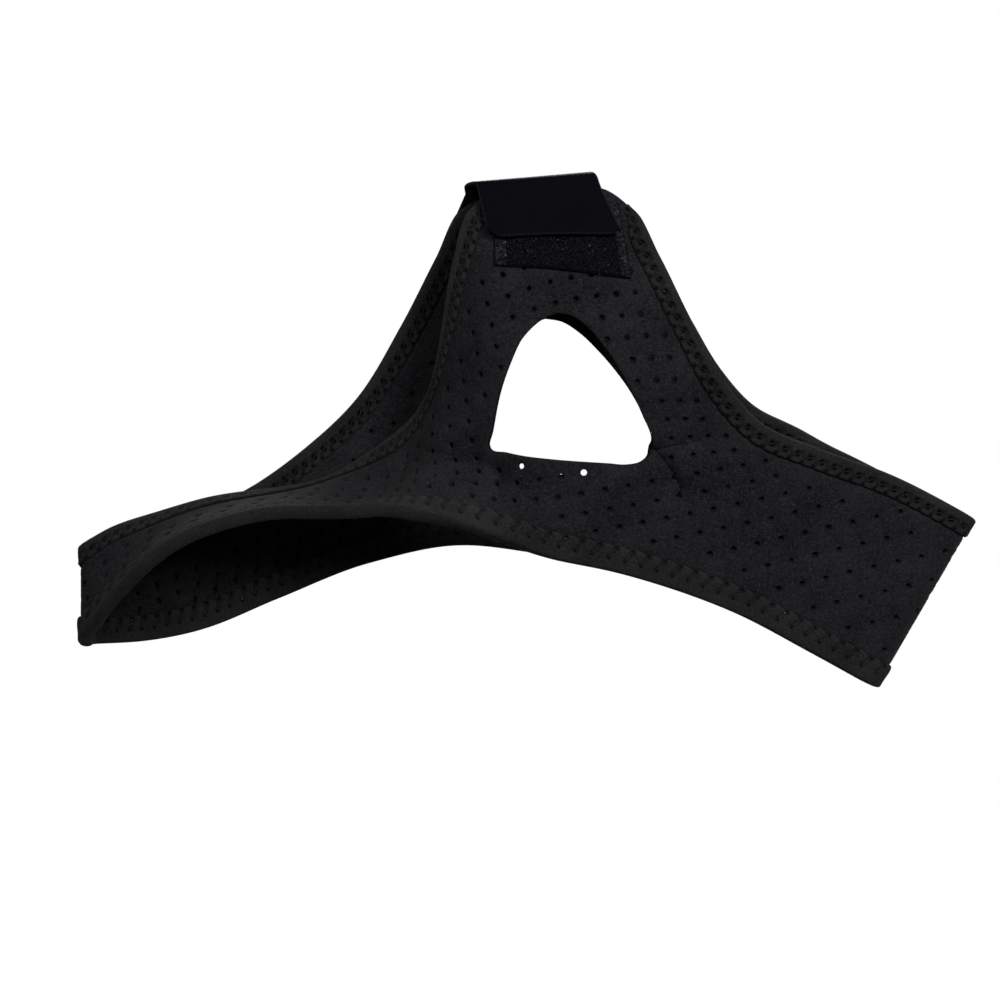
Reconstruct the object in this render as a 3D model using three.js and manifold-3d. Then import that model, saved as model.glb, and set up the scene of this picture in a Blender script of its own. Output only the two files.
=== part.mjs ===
// Anti-snore chin strap at its real size, in millimetres, +Z up.
// Two Y-shaped panels of perforated foam are cut to one flat pattern, bent round the head and sewn
// together under the chin and behind the nape. Folded tape binds their outer edges. A hook tab sewn
// to the left panel folds over the crown and grips a loop patch on the right panel.
// The origin is the crown seat, +X points to the chin and -Y to the wearer's right.

import * as THREE from 'three';
import { mergeVertices } from 'three/addons/utils/BufferGeometryUtils.js';
import Module from 'manifold-3d';

const wasm = await Module();
wasm.setup();

// Sheet thicknesses, and the clearance between pieces that are sewn or pressed together
const WALL = 3;
const TAPE = 0.9;
const PATCH = 1.8;
const TAB = 1.2;
const GAP = 0.3;

// The foam is cut back from the bound edge, and the binding tape reaches in over its cut edge
const CUT_BACK = GAP + TAPE;
const JAW_COVER = 8;
const RIM_COVER = 6.5;

// The panels lean together from the depth where they stand free up to the crown
const CROWN_HALF_GAP = 3;
const CROWN_TOP = 6;
const CROWN_LEAN_DEPTH = 86;

// Quads across a panel between the two taped borders, closer together towards the rim
const INNER_ROWS = 7;
const ROW_CROWDING = 1.4;

// Bound outline of the flat pattern. Along runs from nape to chin and up runs to the crown, both from
// the crown seat.
const JAW_EDGE = [
  { along: -190, up: -171 },
  { along: -160, up: -168 },
  { along: -130, up: -162 },
  { along: -100, up: -152 },
  { along: -62, up: -138 },
  { along: -25, up: -131 },
  { along: 4, up: -135 },
  { along: 36, up: -143.5 },
  { along: 69, up: -156 },
  { along: 96, up: -170.5 },
  { along: 126.8, up: -188.3 },
];
const RIM_EDGE = [
  { along: -190, up: -134 },
  { along: -165, up: -130 },
  { along: -135, up: -121 },
  { along: -108, up: -110 },
  { along: -88, up: -97 },
  { along: -66, up: -77 },
  { along: -50, up: -51 },
  { along: -38, up: -26 },
  { along: -29, up: -7.5 },
  { along: -22, up: -2.5 },
  { along: 0, up: -0.8 },
  { along: 22, up: -0.8 },
  { along: 30, up: -7 },
  { along: 40.3, up: -26.7 },
  { along: 50.5, up: -49 },
  { along: 62, up: -70.3 },
  { along: 76.3, up: -86 },
  { along: 98, up: -95.5 },
  { along: 124, up: -105 },
  { along: 162.7, up: -124.8 },
];

// Raw-cut ear opening, counter-clockwise from its top
const EAR_EDGE = [
  { along: 2.4, up: -47.6 },
  { along: -2.2, up: -49.3 },
  { along: -9.2, up: -54.6 },
  { along: -16, up: -65.8 },
  { along: -20.8, up: -77.6 },
  { along: -23.4, up: -89.8 },
  { along: -24.4, up: -95.2 },
  { along: -23.4, up: -96.6 },
  { along: -18, up: -97.3 },
  { along: -2.2, up: -98.6 },
  { along: 20.8, up: -100.4 },
  { along: 27, up: -100.9 },
  { along: 32.4, up: -99.8 },
  { along: 35.4, up: -97.4 },
  { along: 36.4, up: -93.5 },
  { along: 32.6, up: -83.6 },
  { along: 23.8, up: -66.4 },
  { along: 18.2, up: -58.3 },
  { along: 12.8, up: -52.2 },
  { along: 7.6, up: -48.6 },
];
const EAR_STEP = 6;

// Half the depth of the straight cut that opens the ear
const EAR_CUT_REACH = 60;

// Ribs that pair a place on the rim with one on the jaw edge, and the columns up to the next rib
const RIBS = [
  { place: 'nape seam', rim: -190, jaw: -190, columns: 4 },
  { place: 'nape', rim: -181, jaw: -181, columns: 14 },
  { place: 'behind the ear', rim: -66, jaw: -58, columns: 10 },
  { place: 'rear crown corner', rim: -29, jaw: -22, columns: 7 },
  { place: 'face crown corner', rim: 30, jaw: 20, columns: 10 },
  { place: 'cheek', rim: 68, jaw: 54, columns: 9 },
  { place: 'chin', rim: 146, jaw: 112, columns: 4 },
  { place: 'chin seam', rim: 162.7, jaw: 126.8, columns: 0 },
];
const REAR_CROWN_COLUMN = columnOf('rear crown corner');
const FACE_CROWN_COLUMN = columnOf('face crown corner');

// The ends turn through a quarter circle to the seam with the other panel
const TURNS = [
  { place: 'nape', along: -190, up: -150, radius: 5, heading: 180 },
  { place: 'chin', along: 162.7, up: -124.8, radius: 10, heading: -29.5 },
];

// Stations of a worn panel: the point where the rib of the pattern at up = centre lies, the rib's
// tip towards the right in degrees, the tip gained by each millimetre down, its sway and its pull
const RIGHT_STATIONS = [
  { along: -190, centre: -152, x: -176, y: -5, z: -152, tip: 0, bend: 0, sway: 0, pull: 1 },
  { along: -165, centre: -150, x: -155, y: -13, z: -137, tip: 48, bend: 0, sway: 0.1, pull: 1 },
  { along: -140, centre: -143, x: -131, y: -18, z: -123.5, tip: 70, bend: 0, sway: 0.25, pull: 1 },
  { along: -108, centre: -133, x: -93, y: -20, z: -114, tip: 78, bend: 0, sway: 0.47, pull: 1 },
  { along: -73, centre: -110, x: -56.5, y: -17, z: -107, tip: 47, bend: 0.82, sway: 0.31, pull: 1 },
  { along: -45, centre: -90, x: -37.5, y: -22, z: -87.5, tip: 20, bend: 0.35, sway: 0.12, pull: 0.9 },
  { along: -20, centre: -85, x: -18, y: -33, z: -85, tip: 4, bend: 0.25, sway: 0, pull: 0.95 },
  { along: 0, centre: -85, x: 0, y: -37, z: -85, tip: 0, bend: 0.05, sway: 0, pull: 1 },
  { along: 25, centre: -85, x: 25, y: -36, z: -85, tip: -3, bend: 0, sway: 0, pull: 1 },
  { along: 60, centre: -105, x: 59.5, y: -29, z: -105, tip: -4, bend: 0, sway: 0, pull: 1 },
  { along: 110, centre: -135, x: 109.5, y: -16, z: -135, tip: 0, bend: 0, sway: 0, pull: 1 },
  { along: 128, centre: -141, x: 128, y: -12, z: -141, tip: 0, bend: 0, sway: 0, pull: 1 },
  { along: 165, centre: -150, x: 165, y: -10, z: -150, tip: 0, bend: 0, sway: 0, pull: 1 },
];
const LEFT_STATIONS = [
  { along: -190, centre: -152, x: -176, y: 5, z: -152, tip: 0, bend: 0, sway: 0, pull: 1 },
  { along: -140, centre: -143, x: -136, y: 9, z: -144.5, tip: 0, bend: 0, sway: 0, pull: 1.06 },
  { along: -100, centre: -131, x: -102, y: 12, z: -132, tip: 0, bend: 0, sway: 0, pull: 1.06 },
  { along: -45, centre: -90, x: -51.2, y: 15, z: -91.5, tip: 0, bend: 0, sway: 0, pull: 1.04 },
  { along: 0, centre: -85, x: -4, y: 17, z: -86.5, tip: 0, bend: 0, sway: 0, pull: 1.04 },
  { along: 36, centre: -95, x: 42, y: 17, z: -95.5, tip: 0, bend: 0, sway: 0, pull: 1.03 },
  { along: 60, centre: -105, x: 64, y: 15, z: -103, tip: 0, bend: 0, sway: 0, pull: 1.03 },
  { along: 85, centre: -120, x: 87, y: 13, z: -116.5, tip: 0, bend: 0, sway: 0, pull: 1.05 },
  { along: 110, centre: -135, x: 110, y: 11, z: -134.5, tip: 0, bend: 0, sway: 0, pull: 1.05 },
  { along: 128, centre: -141, x: 128, y: 10, z: -141, tip: 0, bend: 0, sway: 0, pull: 1 },
  { along: 165, centre: -150, x: 165, y: 10, z: -150, tip: 0, bend: 0, sway: 0, pull: 1 },
];

// Creases that dent the right panel inwards, from one pattern point to another
const RIGHT_FOLDS = [
  { place: 'ear corner', along: 37, up: -97, toAlong: 46.5, toUp: -110, depth: 2.2, width: 4 },
  { place: 'cheek', along: 38, up: -95, toAlong: 53, toUp: -92, depth: 1.2, width: 3.5 },
  { place: 'below the ear', along: -20, up: -106, toAlong: -22, toUp: -117, depth: 1.5, width: 5 },
];

// A worn panel: outward is the pattern's face or its back, its crown end may be shifted, and its ear
// opening may be shifted and pulled longer
const RIGHT = {
  name: 'right_panel',
  stations: RIGHT_STATIONS,
  folds: RIGHT_FOLDS,
  outward: 1,
  crownShift: 0,
  earDrop: 0,
  earStretch: 1,
};
const LEFT = {
  name: 'left_panel',
  stations: LEFT_STATIONS,
  folds: [],
  outward: -1,
  crownShift: -3,
  earDrop: 0.5,
  earStretch: 1.11,
};

// Loop patch on the right panel's crown end, by its pattern corners
const PATCH_TOP = { left: -20.5, right: 21.5, up: -6.5 };
const PATCH_BOTTOM = { left: -20.5, right: 28.5, upLeft: -29.2, upRight: -35.5 };
const PATCH_COLUMNS = 8;
const PATCH_ROWS = 5;

// Hook tab: a slanted strip over the crown, from its front hem to the seam on the left panel. It
// flares by a share of its width for each millimetre down a leg, and its ridge is squarer than round.
const TAB_WIDTH = 45;
const TAB_CENTRE = -4.4;
const TAB_SLANT = 0.32;
const TAB_FLARE = 0.0037;
const TAB_HEM = -20.6;
const TAB_SEAM = -24;
const TAB_SHOULDER = -2;
const TAB_RIDGE = 3.6;
const TAB_RIDGE_RISE = 0.084;
const TAB_RIDGE_POWER = 0.3;
const TAB_CORNER = 3;
const TAB_CORNER_SHARES = [0, 0.3, 1];
const TAB_LEG_STEPS = 4;
const TAB_RIDGE_STEPS = 8;

// Halvings that find a place on an edge, and the steps that read an edge's run and a panel's normal
const EDGE_HALVINGS = 40;
const TANGENT_STEP = 0.5;
const NORMAL_STEP = 0.05;

const FOAM_BLACK = { color: 0x1c1c1e, roughness: 0.9, metalness: 0 };
const TAPE_BLACK = { color: 0x222021, roughness: 0.82, metalness: 0 };
const LOOP_BLACK = { color: 0x121214, roughness: 0.95, metalness: 0 };
const HOOK_BLACK = { color: 0x0b0b0f, roughness: 0.55, metalness: 0 };

/** Column of the pattern at a named rib. */
function columnOf(place) {
  const rib = RIBS.findIndex((row) => row.place === place);
  return RIBS.slice(0, rib).reduce((total, row) => total + row.columns, 0);
}

/** Slope of one column of a table at a row, from the rows on both sides. */
function slopeAt(rows, key, column, index) {
  const rise = (from) => {
    const [start, end] = [rows[from], rows[from + 1]];
    return (end[column] - start[column]) / (end[key] - start[key]);
  };
  if (index === 0) {
    return rise(0);
  }
  if (index === rows.length - 1) {
    return rise(index - 1);
  }
  const before = rows[index][key] - rows[index - 1][key];
  const after = rows[index + 1][key] - rows[index][key];
  return (after * rise(index - 1) + before * rise(index)) / (before + after);
}

/** Smooth value of one column of a table whose rows are sorted by key. */
function smoothColumn(rows, key, column, value) {
  const held = THREE.MathUtils.clamp(value, rows[0][key], rows[rows.length - 1][key]);
  let index = 0;
  while (index < rows.length - 2 && held > rows[index + 1][key]) {
    index += 1;
  }
  const span = rows[index + 1][key] - rows[index][key];
  const t = (held - rows[index][key]) / span;
  const start = rows[index][column] * (1 + 2 * t) * (1 - t) ** 2;
  const end = rows[index + 1][column] * t ** 2 * (3 - 2 * t);
  const leaving = slopeAt(rows, key, column, index) * span * t * (1 - t) ** 2;
  const arriving = slopeAt(rows, key, column, index + 1) * span * t ** 2 * (t - 1);
  return start + end + leaving + arriving;
}

/** A smooth edge of the pattern, read by its length from the first row. */
class Edge {
  constructor(rows) {
    let run = 0;
    this.rows = rows.map((row, index) => {
      const last = rows[Math.max(index - 1, 0)];
      run += Math.hypot(row.along - last.along, row.up - last.up);
      return { ...row, run };
    });
    this.length = run;
  }

  pointAt(run) {
    const along = smoothColumn(this.rows, 'run', 'along', run);
    const up = smoothColumn(this.rows, 'run', 'up', run);
    return new THREE.Vector2(along, up);
  }

  /** Point that lies off the edge, square to it on the left of its run. */
  insetAt(run, distance) {
    const ahead = this.pointAt(run + TANGENT_STEP);
    const tangent = ahead.sub(this.pointAt(run - TANGENT_STEP)).normalize();
    return this.pointAt(run).add(new THREE.Vector2(-tangent.y, tangent.x).multiplyScalar(distance));
  }

  /** Length along the edge where it reaches a place along the pattern. */
  runAt(along) {
    let low = 0;
    let high = this.length;
    for (let halving = 0; halving < EDGE_HALVINGS; halving += 1) {
      const middle = (low + high) / 2;
      if (this.pointAt(middle).x < along) {
        low = middle;
      } else {
        high = middle;
      }
    }
    return (low + high) / 2;
  }
}

/** Unit direction in which a turn leaves the panel. */
function turnAxis(turn) {
  const angle = THREE.MathUtils.degToRad(turn.heading);
  return new THREE.Vector2(Math.cos(angle), Math.sin(angle));
}

/** Depth of a panel's creases at a pattern point. */
function creaseDepth(folds, flat) {
  return folds.reduce((total, fold) => {
    const from = new THREE.Vector2(fold.along, fold.up);
    const run = new THREE.Vector2(fold.toAlong, fold.toUp).sub(from);
    const offset = flat.clone().sub(from);
    const share = THREE.MathUtils.clamp(offset.dot(run) / run.lengthSq(), 0, 1);
    const distance = offset.sub(run.multiplyScalar(share)).length();
    return total + fold.depth * Math.exp(-((distance / fold.width) ** 2));
  }, 0);
}

/** Place of a pattern point on a worn panel's middle surface. */
function wornPoint(side, flat) {
  const read = (column) => smoothColumn(side.stations, 'along', column, flat.x);
  const rise = flat.y - read('centre');
  const tip = THREE.MathUtils.degToRad(read('tip') - read('bend') * rise);
  const free = THREE.MathUtils.smoothstep((CROWN_TOP - flat.y) / CROWN_LEAN_DEPTH, 0, 1);
  const point = new THREE.Vector3(flat.x + side.crownShift, -side.outward * CROWN_HALF_GAP, flat.y);
  const standing = new THREE.Vector3(
    read('x') + read('sway') * rise,
    read('y') + Math.sin(tip) * rise,
    read('z') + Math.cos(tip) * rise * read('pull'),
  );
  point.lerp(standing, free);
  point.y += side.outward * creaseDepth(side.folds, flat);
  for (const turn of TURNS) {
    const axis = turnAxis(turn);
    const quarter = Math.PI / 2;
    const angle = THREE.MathUtils.clamp(quarter - leftToSeam(turn, flat) / turn.radius, 0, quarter);
    const drawn = turn.radius * (Math.sin(angle) - angle);
    point.x += drawn * axis.x;
    point.z += drawn * axis.y;
    point.y *= Math.cos(angle);
  }
  return point;
}

/** Outward unit normal of a worn panel at a pattern point. */
function wornNormal(side, flat) {
  const across = (dx, dy) => {
    const ahead = wornPoint(side, new THREE.Vector2(flat.x + dx, flat.y + dy));
    return ahead.sub(wornPoint(side, new THREE.Vector2(flat.x - dx, flat.y - dy)));
  };
  const normal = across(NORMAL_STEP, 0).cross(across(0, NORMAL_STEP)).normalize();
  return normal.multiplyScalar(side.outward);
}

/** Length of pattern left between a point and a turn's seam. */
function leftToSeam(turn, flat) {
  return new THREE.Vector2(turn.along, turn.up).sub(flat).dot(turnAxis(turn));
}

/** Point that stands off a worn panel's middle surface, flush with the seam where the panel ends. */
function standOff(side, flat, distance) {
  const point = wornPoint(side, flat).addScaledVector(wornNormal(side, flat), distance);
  if (TURNS.some((turn) => leftToSeam(turn, flat) < GAP)) {
    point.y = (-side.outward * GAP) / 2;
  }
  return point;
}

/** Closed geometry from corner points and quads or triangles, turned so that its faces point out. */
function closedGeometry(points, faces) {
  const triangles = faces.flatMap((face) => (
    face.length === 3 ? [face] : [[face[0], face[1], face[2]], [face[0], face[2], face[3]]]
  ));
  const volume = triangles.reduce((total, [a, b, c]) => (
    total + points[a].dot(new THREE.Vector3().crossVectors(points[b], points[c]))
  ), 0);
  const turned = volume < 0 ? triangles.map(([a, b, c]) => [a, c, b]) : triangles;
  const geometry = new THREE.BufferGeometry().setFromPoints(points);
  geometry.setIndex(turned.flat());
  geometry.computeVertexNormals();
  return geometry;
}

/** Closed sheet between two grids of points, by column and row, with mirrored splits in both halves. */
function sheetGeometry(front, back) {
  const columns = front.length;
  const rows = front[0].length;
  const points = [...front.flat(), ...back.flat()];
  const frontAt = (column, row) => column * rows + row;
  const backAt = (column, row) => columns * rows + column * rows + row;
  const faces = [];
  for (let column = 0; column < columns - 1; column += 1) {
    for (let row = 0; row < rows - 1; row += 1) {
      const corners = [[column, row], [column + 1, row], [column + 1, row + 1], [column, row + 1]];
      if (row >= (rows - 1) / 2) {
        corners.push(corners.shift());
      }
      faces.push(corners.map((corner) => frontAt(...corner)));
      faces.push([0, 3, 2, 1].map((index) => backAt(...corners[index])));
    }
    const next = column + 1;
    const top = rows - 1;
    faces.push([frontAt(next, 0), frontAt(column, 0), backAt(column, 0), backAt(next, 0)]);
    faces.push([frontAt(next, top), backAt(next, top), backAt(column, top), frontAt(column, top)]);
  }
  for (let row = 0; row < rows - 1; row += 1) {
    for (const [column, from, to] of [[0, row, row + 1], [columns - 1, row + 1, row]]) {
      faces.push([frontAt(column, from), frontAt(column, to), backAt(column, to), backAt(column, from)]);
    }
  }
  return closedGeometry(points, faces);
}

/** Manifold solid of a closed geometry. */
function solidOf(geometry) {
  const bare = geometry.clone();
  bare.deleteAttribute('normal');
  bare.deleteAttribute('uv');
  const merged = mergeVertices(bare);
  return new wasm.Manifold(new wasm.Mesh({
    numProp: 3,
    vertProperties: new Float32Array(merged.attributes.position.array),
    triVerts: new Uint32Array(merged.index.array),
  }));
}

/** Geometry of a manifold solid. */
function geometryOf(solid) {
  const { vertProperties, triVerts } = solid.getMesh();
  const geometry = new THREE.BufferGeometry();
  geometry.setAttribute('position', new THREE.BufferAttribute(new Float32Array(vertProperties), 3));
  geometry.setIndex(Array.from(triVerts));
  geometry.computeVertexNormals();
  return geometry;
}

/** Named mesh with the looks of its piece. */
function piece(name, geometry, finish) {
  const mesh = new THREE.Mesh(geometry, new THREE.MeshStandardMaterial(finish));
  mesh.name = name;
  return mesh;
}

/** Columns of the pattern from nape to chin, each with its cut edges and taped borders. */
function patternColumns() {
  const jaw = new Edge(JAW_EDGE);
  const rim = new Edge(RIM_EDGE);
  const columns = [];
  RIBS.forEach((rib, index) => {
    const next = RIBS[index + 1] ?? rib;
    const steps = Math.max(rib.columns, 1);
    for (let step = 0; step < steps; step += 1) {
      const share = step / steps;
      const jawRun = THREE.MathUtils.lerp(jaw.runAt(rib.jaw), jaw.runAt(next.jaw), share);
      const rimRun = THREE.MathUtils.lerp(rim.runAt(rib.rim), rim.runAt(next.rim), share);
      columns.push({
        jaw: jaw.insetAt(jawRun, CUT_BACK),
        jawBorder: jaw.insetAt(jawRun, CUT_BACK + JAW_COVER),
        rim: rim.insetAt(rimRun, -CUT_BACK),
        rimBorder: rim.insetAt(rimRun, -CUT_BACK - RIM_COVER),
      });
    }
  });
  TURNS.forEach((turn, index) => squareEnd(columns[index * (columns.length - 1)], turn));
  return columns;
}

/** Lays an end column straight along its seam, half a clearance short of it. */
function squareEnd(column, turn) {
  const axis = turnAxis(turn);
  const seam = new THREE.Vector2(turn.along, turn.up).addScaledVector(axis, -GAP / 2);
  const upSeam = column.rim.clone().sub(column.jaw).normalize();
  column.jawBorder = column.jaw.clone().addScaledVector(upSeam, JAW_COVER);
  column.rimBorder = column.rim.clone().addScaledVector(upSeam, -RIM_COVER);
  for (const point of Object.values(column)) {
    point.addScaledVector(axis, seam.clone().sub(point).dot(axis));
  }
}

/** Pattern points of one column from the jaw edge to the rim. */
function columnPoints({ jaw, jawBorder, rim, rimBorder }) {
  const inner = Array.from({ length: INNER_ROWS + 1 }, (unused, row) => (
    rimBorder.clone().lerp(jawBorder, (1 - row / INNER_ROWS) ** ROW_CROWDING)
  ));
  return [jaw, ...inner, rim];
}

/** Prism that cuts the ear opening straight through a worn panel. */
function earCutter(side) {
  const edge = new Edge([...EAR_EDGE, EAR_EDGE[0]]);
  const top = EAR_EDGE[0].up;
  const outline = edge.rows.slice(1).flatMap((row, index) => {
    const from = edge.rows[index].run;
    const steps = Math.ceil((row.run - from) / EAR_STEP);
    return Array.from({ length: steps }, (unused, step) => {
      const flat = edge.pointAt(THREE.MathUtils.lerp(from, row.run, step / steps));
      const up = top + (flat.y - top) * side.earStretch - side.earDrop;
      const worn = wornPoint(side, new THREE.Vector2(flat.x, up));
      return new THREE.Vector2(worn.x, worn.z);
    });
  });
  const depth = 2 * EAR_CUT_REACH;
  const prism = new THREE.ExtrudeGeometry(new THREE.Shape(outline), { depth, bevelEnabled: false });
  prism.translate(0, 0, -EAR_CUT_REACH);
  prism.rotateX(Math.PI / 2);
  return prism;
}

/** Whole sheet of one side of the head, with a given thickness to each side of its middle. */
function panelSheet(side, columns, half) {
  const flat = columns.map(columnPoints);
  const layer = (distance) => flat.map((points) => (
    points.map((point) => standOff(side, point, distance))
  ));
  return solidOf(sheetGeometry(layer(half), layer(-half)));
}

/** Foam panel of one side of the head, with its ear opening. */
function panel(side, columns) {
  const cut = panelSheet(side, columns, WALL / 2).subtract(solidOf(earCutter(side)));
  return piece(side.name, geometryOf(cut), FOAM_BLACK);
}

// Corners of a tape section that lie at the cut edge, on the outer and the inner skin of its legs
const TAPE_EDGE_CORNERS = [1, 4, 7, 8];

/** Cross-section of the folded tape round a cut edge, from the cut edge and its taped border. */
function tapeSection(side, edge, border) {
  const off = wornPoint(side, edge).sub(wornPoint(side, border)).normalize();
  const inside = WALL / 2 + GAP;
  const outside = inside + TAPE;
  const nose = GAP + TAPE;
  const atBorder = (height) => standOff(side, border, height);
  const atEdge = (reach, height) => standOff(side, edge, height).addScaledVector(off, reach);
  return [
    atBorder(outside),
    atEdge(0, outside),
    atEdge(nose, outside / 2),
    atEdge(nose, -outside / 2),
    atEdge(0, -outside),
    atBorder(-outside),
    atBorder(-inside),
    atEdge(GAP, -inside),
    atEdge(GAP, inside),
    atBorder(inside),
  ];
}

/** Folded tape through cross-sections that run over the right panel to a seam and back over the left. */
function tape(name, sections, runsToChin) {
  const ring = sections[0].length;
  const faces = [];
  for (let index = 0; index < sections.length - 1; index += 1) {
    const towardsChin = (index < sections.length / 2) === runsToChin;
    for (let corner = 0; corner < ring; corner += 1) {
      const next = (corner + 1) % ring;
      const here = index * ring;
      const quad = [here + corner, here + next, here + ring + next, here + ring + corner];
      if (TAPE_EDGE_CORNERS.includes(corner) !== towardsChin) {
        quad.push(quad.shift());
      }
      faces.push(quad);
    }
  }
  const leg = [[0, 1, 8, 9], [1, 2, 8], [2, 3, 7, 8], [3, 4, 7], [4, 5, 6, 7]];
  const last = (sections.length - 1) * ring;
  leg.forEach((face) => faces.push([...face].reverse(), face.map((corner) => last + corner)));
  return piece(name, closedGeometry(sections.flat(), faces), TAPE_BLACK);
}

/** Loop patch that lies on the right panel's crown end. */
function loopPatch(columns) {
  const under = WALL / 2 + GAP;
  const layer = (distance) => Array.from({ length: PATCH_COLUMNS + 1 }, (unused, column) => {
    const share = column / PATCH_COLUMNS;
    const top = new THREE.Vector2(
      THREE.MathUtils.lerp(PATCH_TOP.left, PATCH_TOP.right, share),
      PATCH_TOP.up,
    );
    const bottom = new THREE.Vector2(
      THREE.MathUtils.lerp(PATCH_BOTTOM.left, PATCH_BOTTOM.right, share),
      THREE.MathUtils.lerp(PATCH_BOTTOM.upLeft, PATCH_BOTTOM.upRight, share),
    );
    return Array.from({ length: PATCH_ROWS + 1 }, (unusedRow, row) => (
      standOff(RIGHT, bottom.clone().lerp(top, row / PATCH_ROWS), distance)
    ));
  });
  const slab = solidOf(sheetGeometry(layer(under + PATCH), layer(0)));
  const laid = slab.subtract(panelSheet(RIGHT, columns, under));
  return piece('loop_patch', geometryOf(laid), LOOP_BLACK);
}

/** Places across the hook tab, closer together at its rounded corners. */
function tabPlaces() {
  const half = TAB_WIDTH / 2;
  const third = TAB_WIDTH / 6;
  const corner = TAB_CORNER_SHARES.map((share) => half - share * TAB_CORNER);
  return [...corner.map((place) => -place), -third, third, ...corner.reverse()];
}

/** How far a rounded corner of the hook tab lifts its hem at a place across. */
function cornerLift(place) {
  const into = Math.max(Math.abs(place) - (TAB_WIDTH / 2 - TAB_CORNER), 0);
  return TAB_CORNER - Math.sqrt(TAB_CORNER ** 2 - into ** 2);
}

/** Middle line of the hook tab at a place across it, from the front hem over the crown to the seam. */
function tabLine(place) {
  const frontStand = WALL / 2 + GAP + PATCH + 2 * GAP + TAB / 2;
  const backStand = WALL / 2 + GAP + TAPE + 2 * GAP + TAB / 2;
  const legPoint = (side, stand, up) => {
    const along = TAB_CENTRE + place * (1 - TAB_FLARE * up) - side.outward * TAB_SLANT * up;
    return standOff(side, new THREE.Vector2(along, up), stand);
  };
  const leg = (side, stand, low) => Array.from({ length: TAB_LEG_STEPS + 1 }, (unused, step) => (
    legPoint(side, stand, THREE.MathUtils.lerp(low, TAB_SHOULDER, step / TAB_LEG_STEPS))
  ));
  const front = leg(RIGHT, frontStand, TAB_HEM + cornerLift(place));
  const back = leg(LEFT, backStand, TAB_SEAM).reverse();
  const start = front[front.length - 1];
  const end = back[0];
  const top = TAB_RIDGE + TAB_RIDGE_RISE * place - TAB / 2;
  const ridge = Array.from({ length: TAB_RIDGE_STEPS - 1 }, (unused, step) => {
    const angle = (Math.PI * (step + 1)) / TAB_RIDGE_STEPS;
    const point = start.clone().lerp(end, (1 - Math.cos(angle)) / 2);
    const lift = (top - point.z) * Math.sin(angle) ** TAB_RIDGE_POWER;
    point.x -= TAB_SLANT * lift;
    point.z += lift;
    return point;
  });
  return [...front, ...ridge, ...back];
}

/** Hook tab folded over the crown. */
function crownTab() {
  const lines = tabPlaces().map(tabLine);
  const normalAt = (column, row) => {
    const line = lines[column];
    const run = line[Math.min(row + 1, line.length - 1)].clone().sub(line[Math.max(row - 1, 0)]);
    const ahead = lines[Math.min(column + 1, lines.length - 1)][row];
    const across = ahead.clone().sub(lines[Math.max(column - 1, 0)][row]);
    return across.cross(run).normalize();
  };
  const layer = (distance) => lines.map((line, column) => (
    line.map((point, row) => point.clone().addScaledVector(normalAt(column, row), distance))
  ));
  return piece('crown_tab', sheetGeometry(layer(TAB / 2), layer(-TAB / 2)), HOOK_BLACK);
}

/** The three lengths of binding tape, each sewn from one panel on to the other. */
function bindings(columns) {
  const jawSections = (side) => columns.map(({ jaw, jawBorder }) => tapeSection(side, jaw, jawBorder));
  const rimSections = (side) => columns.map(({ rim, rimBorder }) => tapeSection(side, rim, rimBorder));
  const rightRim = rimSections(RIGHT);
  const leftRim = rimSections(LEFT);
  const rear = (sections) => sections.slice(0, REAR_CROWN_COLUMN + 1);
  const face = (sections) => sections.slice(FACE_CROWN_COLUMN);
  return [
    tape('jaw_binding', [...jawSections(RIGHT), ...jawSections(LEFT).reverse()], true),
    tape('face_binding', [...face(rightRim), ...face(leftRim).reverse()], true),
    tape('nape_binding', [...rear(rightRim).reverse(), ...rear(leftRim)], false),
  ];
}

const columns = patternColumns();
const chinStrap = new THREE.Group();
chinStrap.add(panel(RIGHT, columns), panel(LEFT, columns));
chinStrap.add(...bindings(columns));
chinStrap.add(loopPatch(columns), crownTab());

export default chinStrap;
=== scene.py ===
"""Looks of an anti-snore chin strap: punched foam panels, bound edges and a hook-and-loop crown.

Sizes are in millimetres on the flat pattern, whose axes are along, from nape to chin, and up, to the crown.
Meshes are in metres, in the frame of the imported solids.
"""

import logging
import math
from collections.abc import Callable, Iterable, Sequence
from dataclasses import dataclass, field
from enum import Enum
from typing import ClassVar

import bmesh
import bpy
import numpy as np
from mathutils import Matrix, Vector


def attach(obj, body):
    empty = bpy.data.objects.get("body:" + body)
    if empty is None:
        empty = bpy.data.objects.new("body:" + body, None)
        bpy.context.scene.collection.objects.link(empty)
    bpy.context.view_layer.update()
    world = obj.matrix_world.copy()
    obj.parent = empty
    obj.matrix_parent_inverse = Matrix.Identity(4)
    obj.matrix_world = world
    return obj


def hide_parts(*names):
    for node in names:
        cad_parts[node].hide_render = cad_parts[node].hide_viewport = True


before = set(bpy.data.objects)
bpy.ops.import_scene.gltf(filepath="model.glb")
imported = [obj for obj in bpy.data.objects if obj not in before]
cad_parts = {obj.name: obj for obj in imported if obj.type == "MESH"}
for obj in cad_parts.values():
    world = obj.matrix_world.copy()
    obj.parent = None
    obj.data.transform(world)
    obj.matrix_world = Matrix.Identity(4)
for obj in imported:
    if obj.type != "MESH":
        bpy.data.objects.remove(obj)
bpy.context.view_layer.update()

LOG = logging.getLogger("chin_strap")
MM = 0.001
BODY = "root"
PATTERN_UV = "Pattern"
DENT = "dent"

# Thicknesses and clearances of the cloth
WALL = 3.0
TAPE = 0.9
PATCH = 1.8
TAB = 1.2
GAP = 0.3
SEAM_GAP = 0.06
CUT_BACK = GAP + TAPE
JAW_COVER = 8.0
RIM_COVER = 6.5

# The panels lean together from the depth where they stand free up to the crown
CROWN_HALF_GAP = 3.0
CROWN_TOP = 6.0
CROWN_LEAN_DEPTH = 86.0

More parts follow.
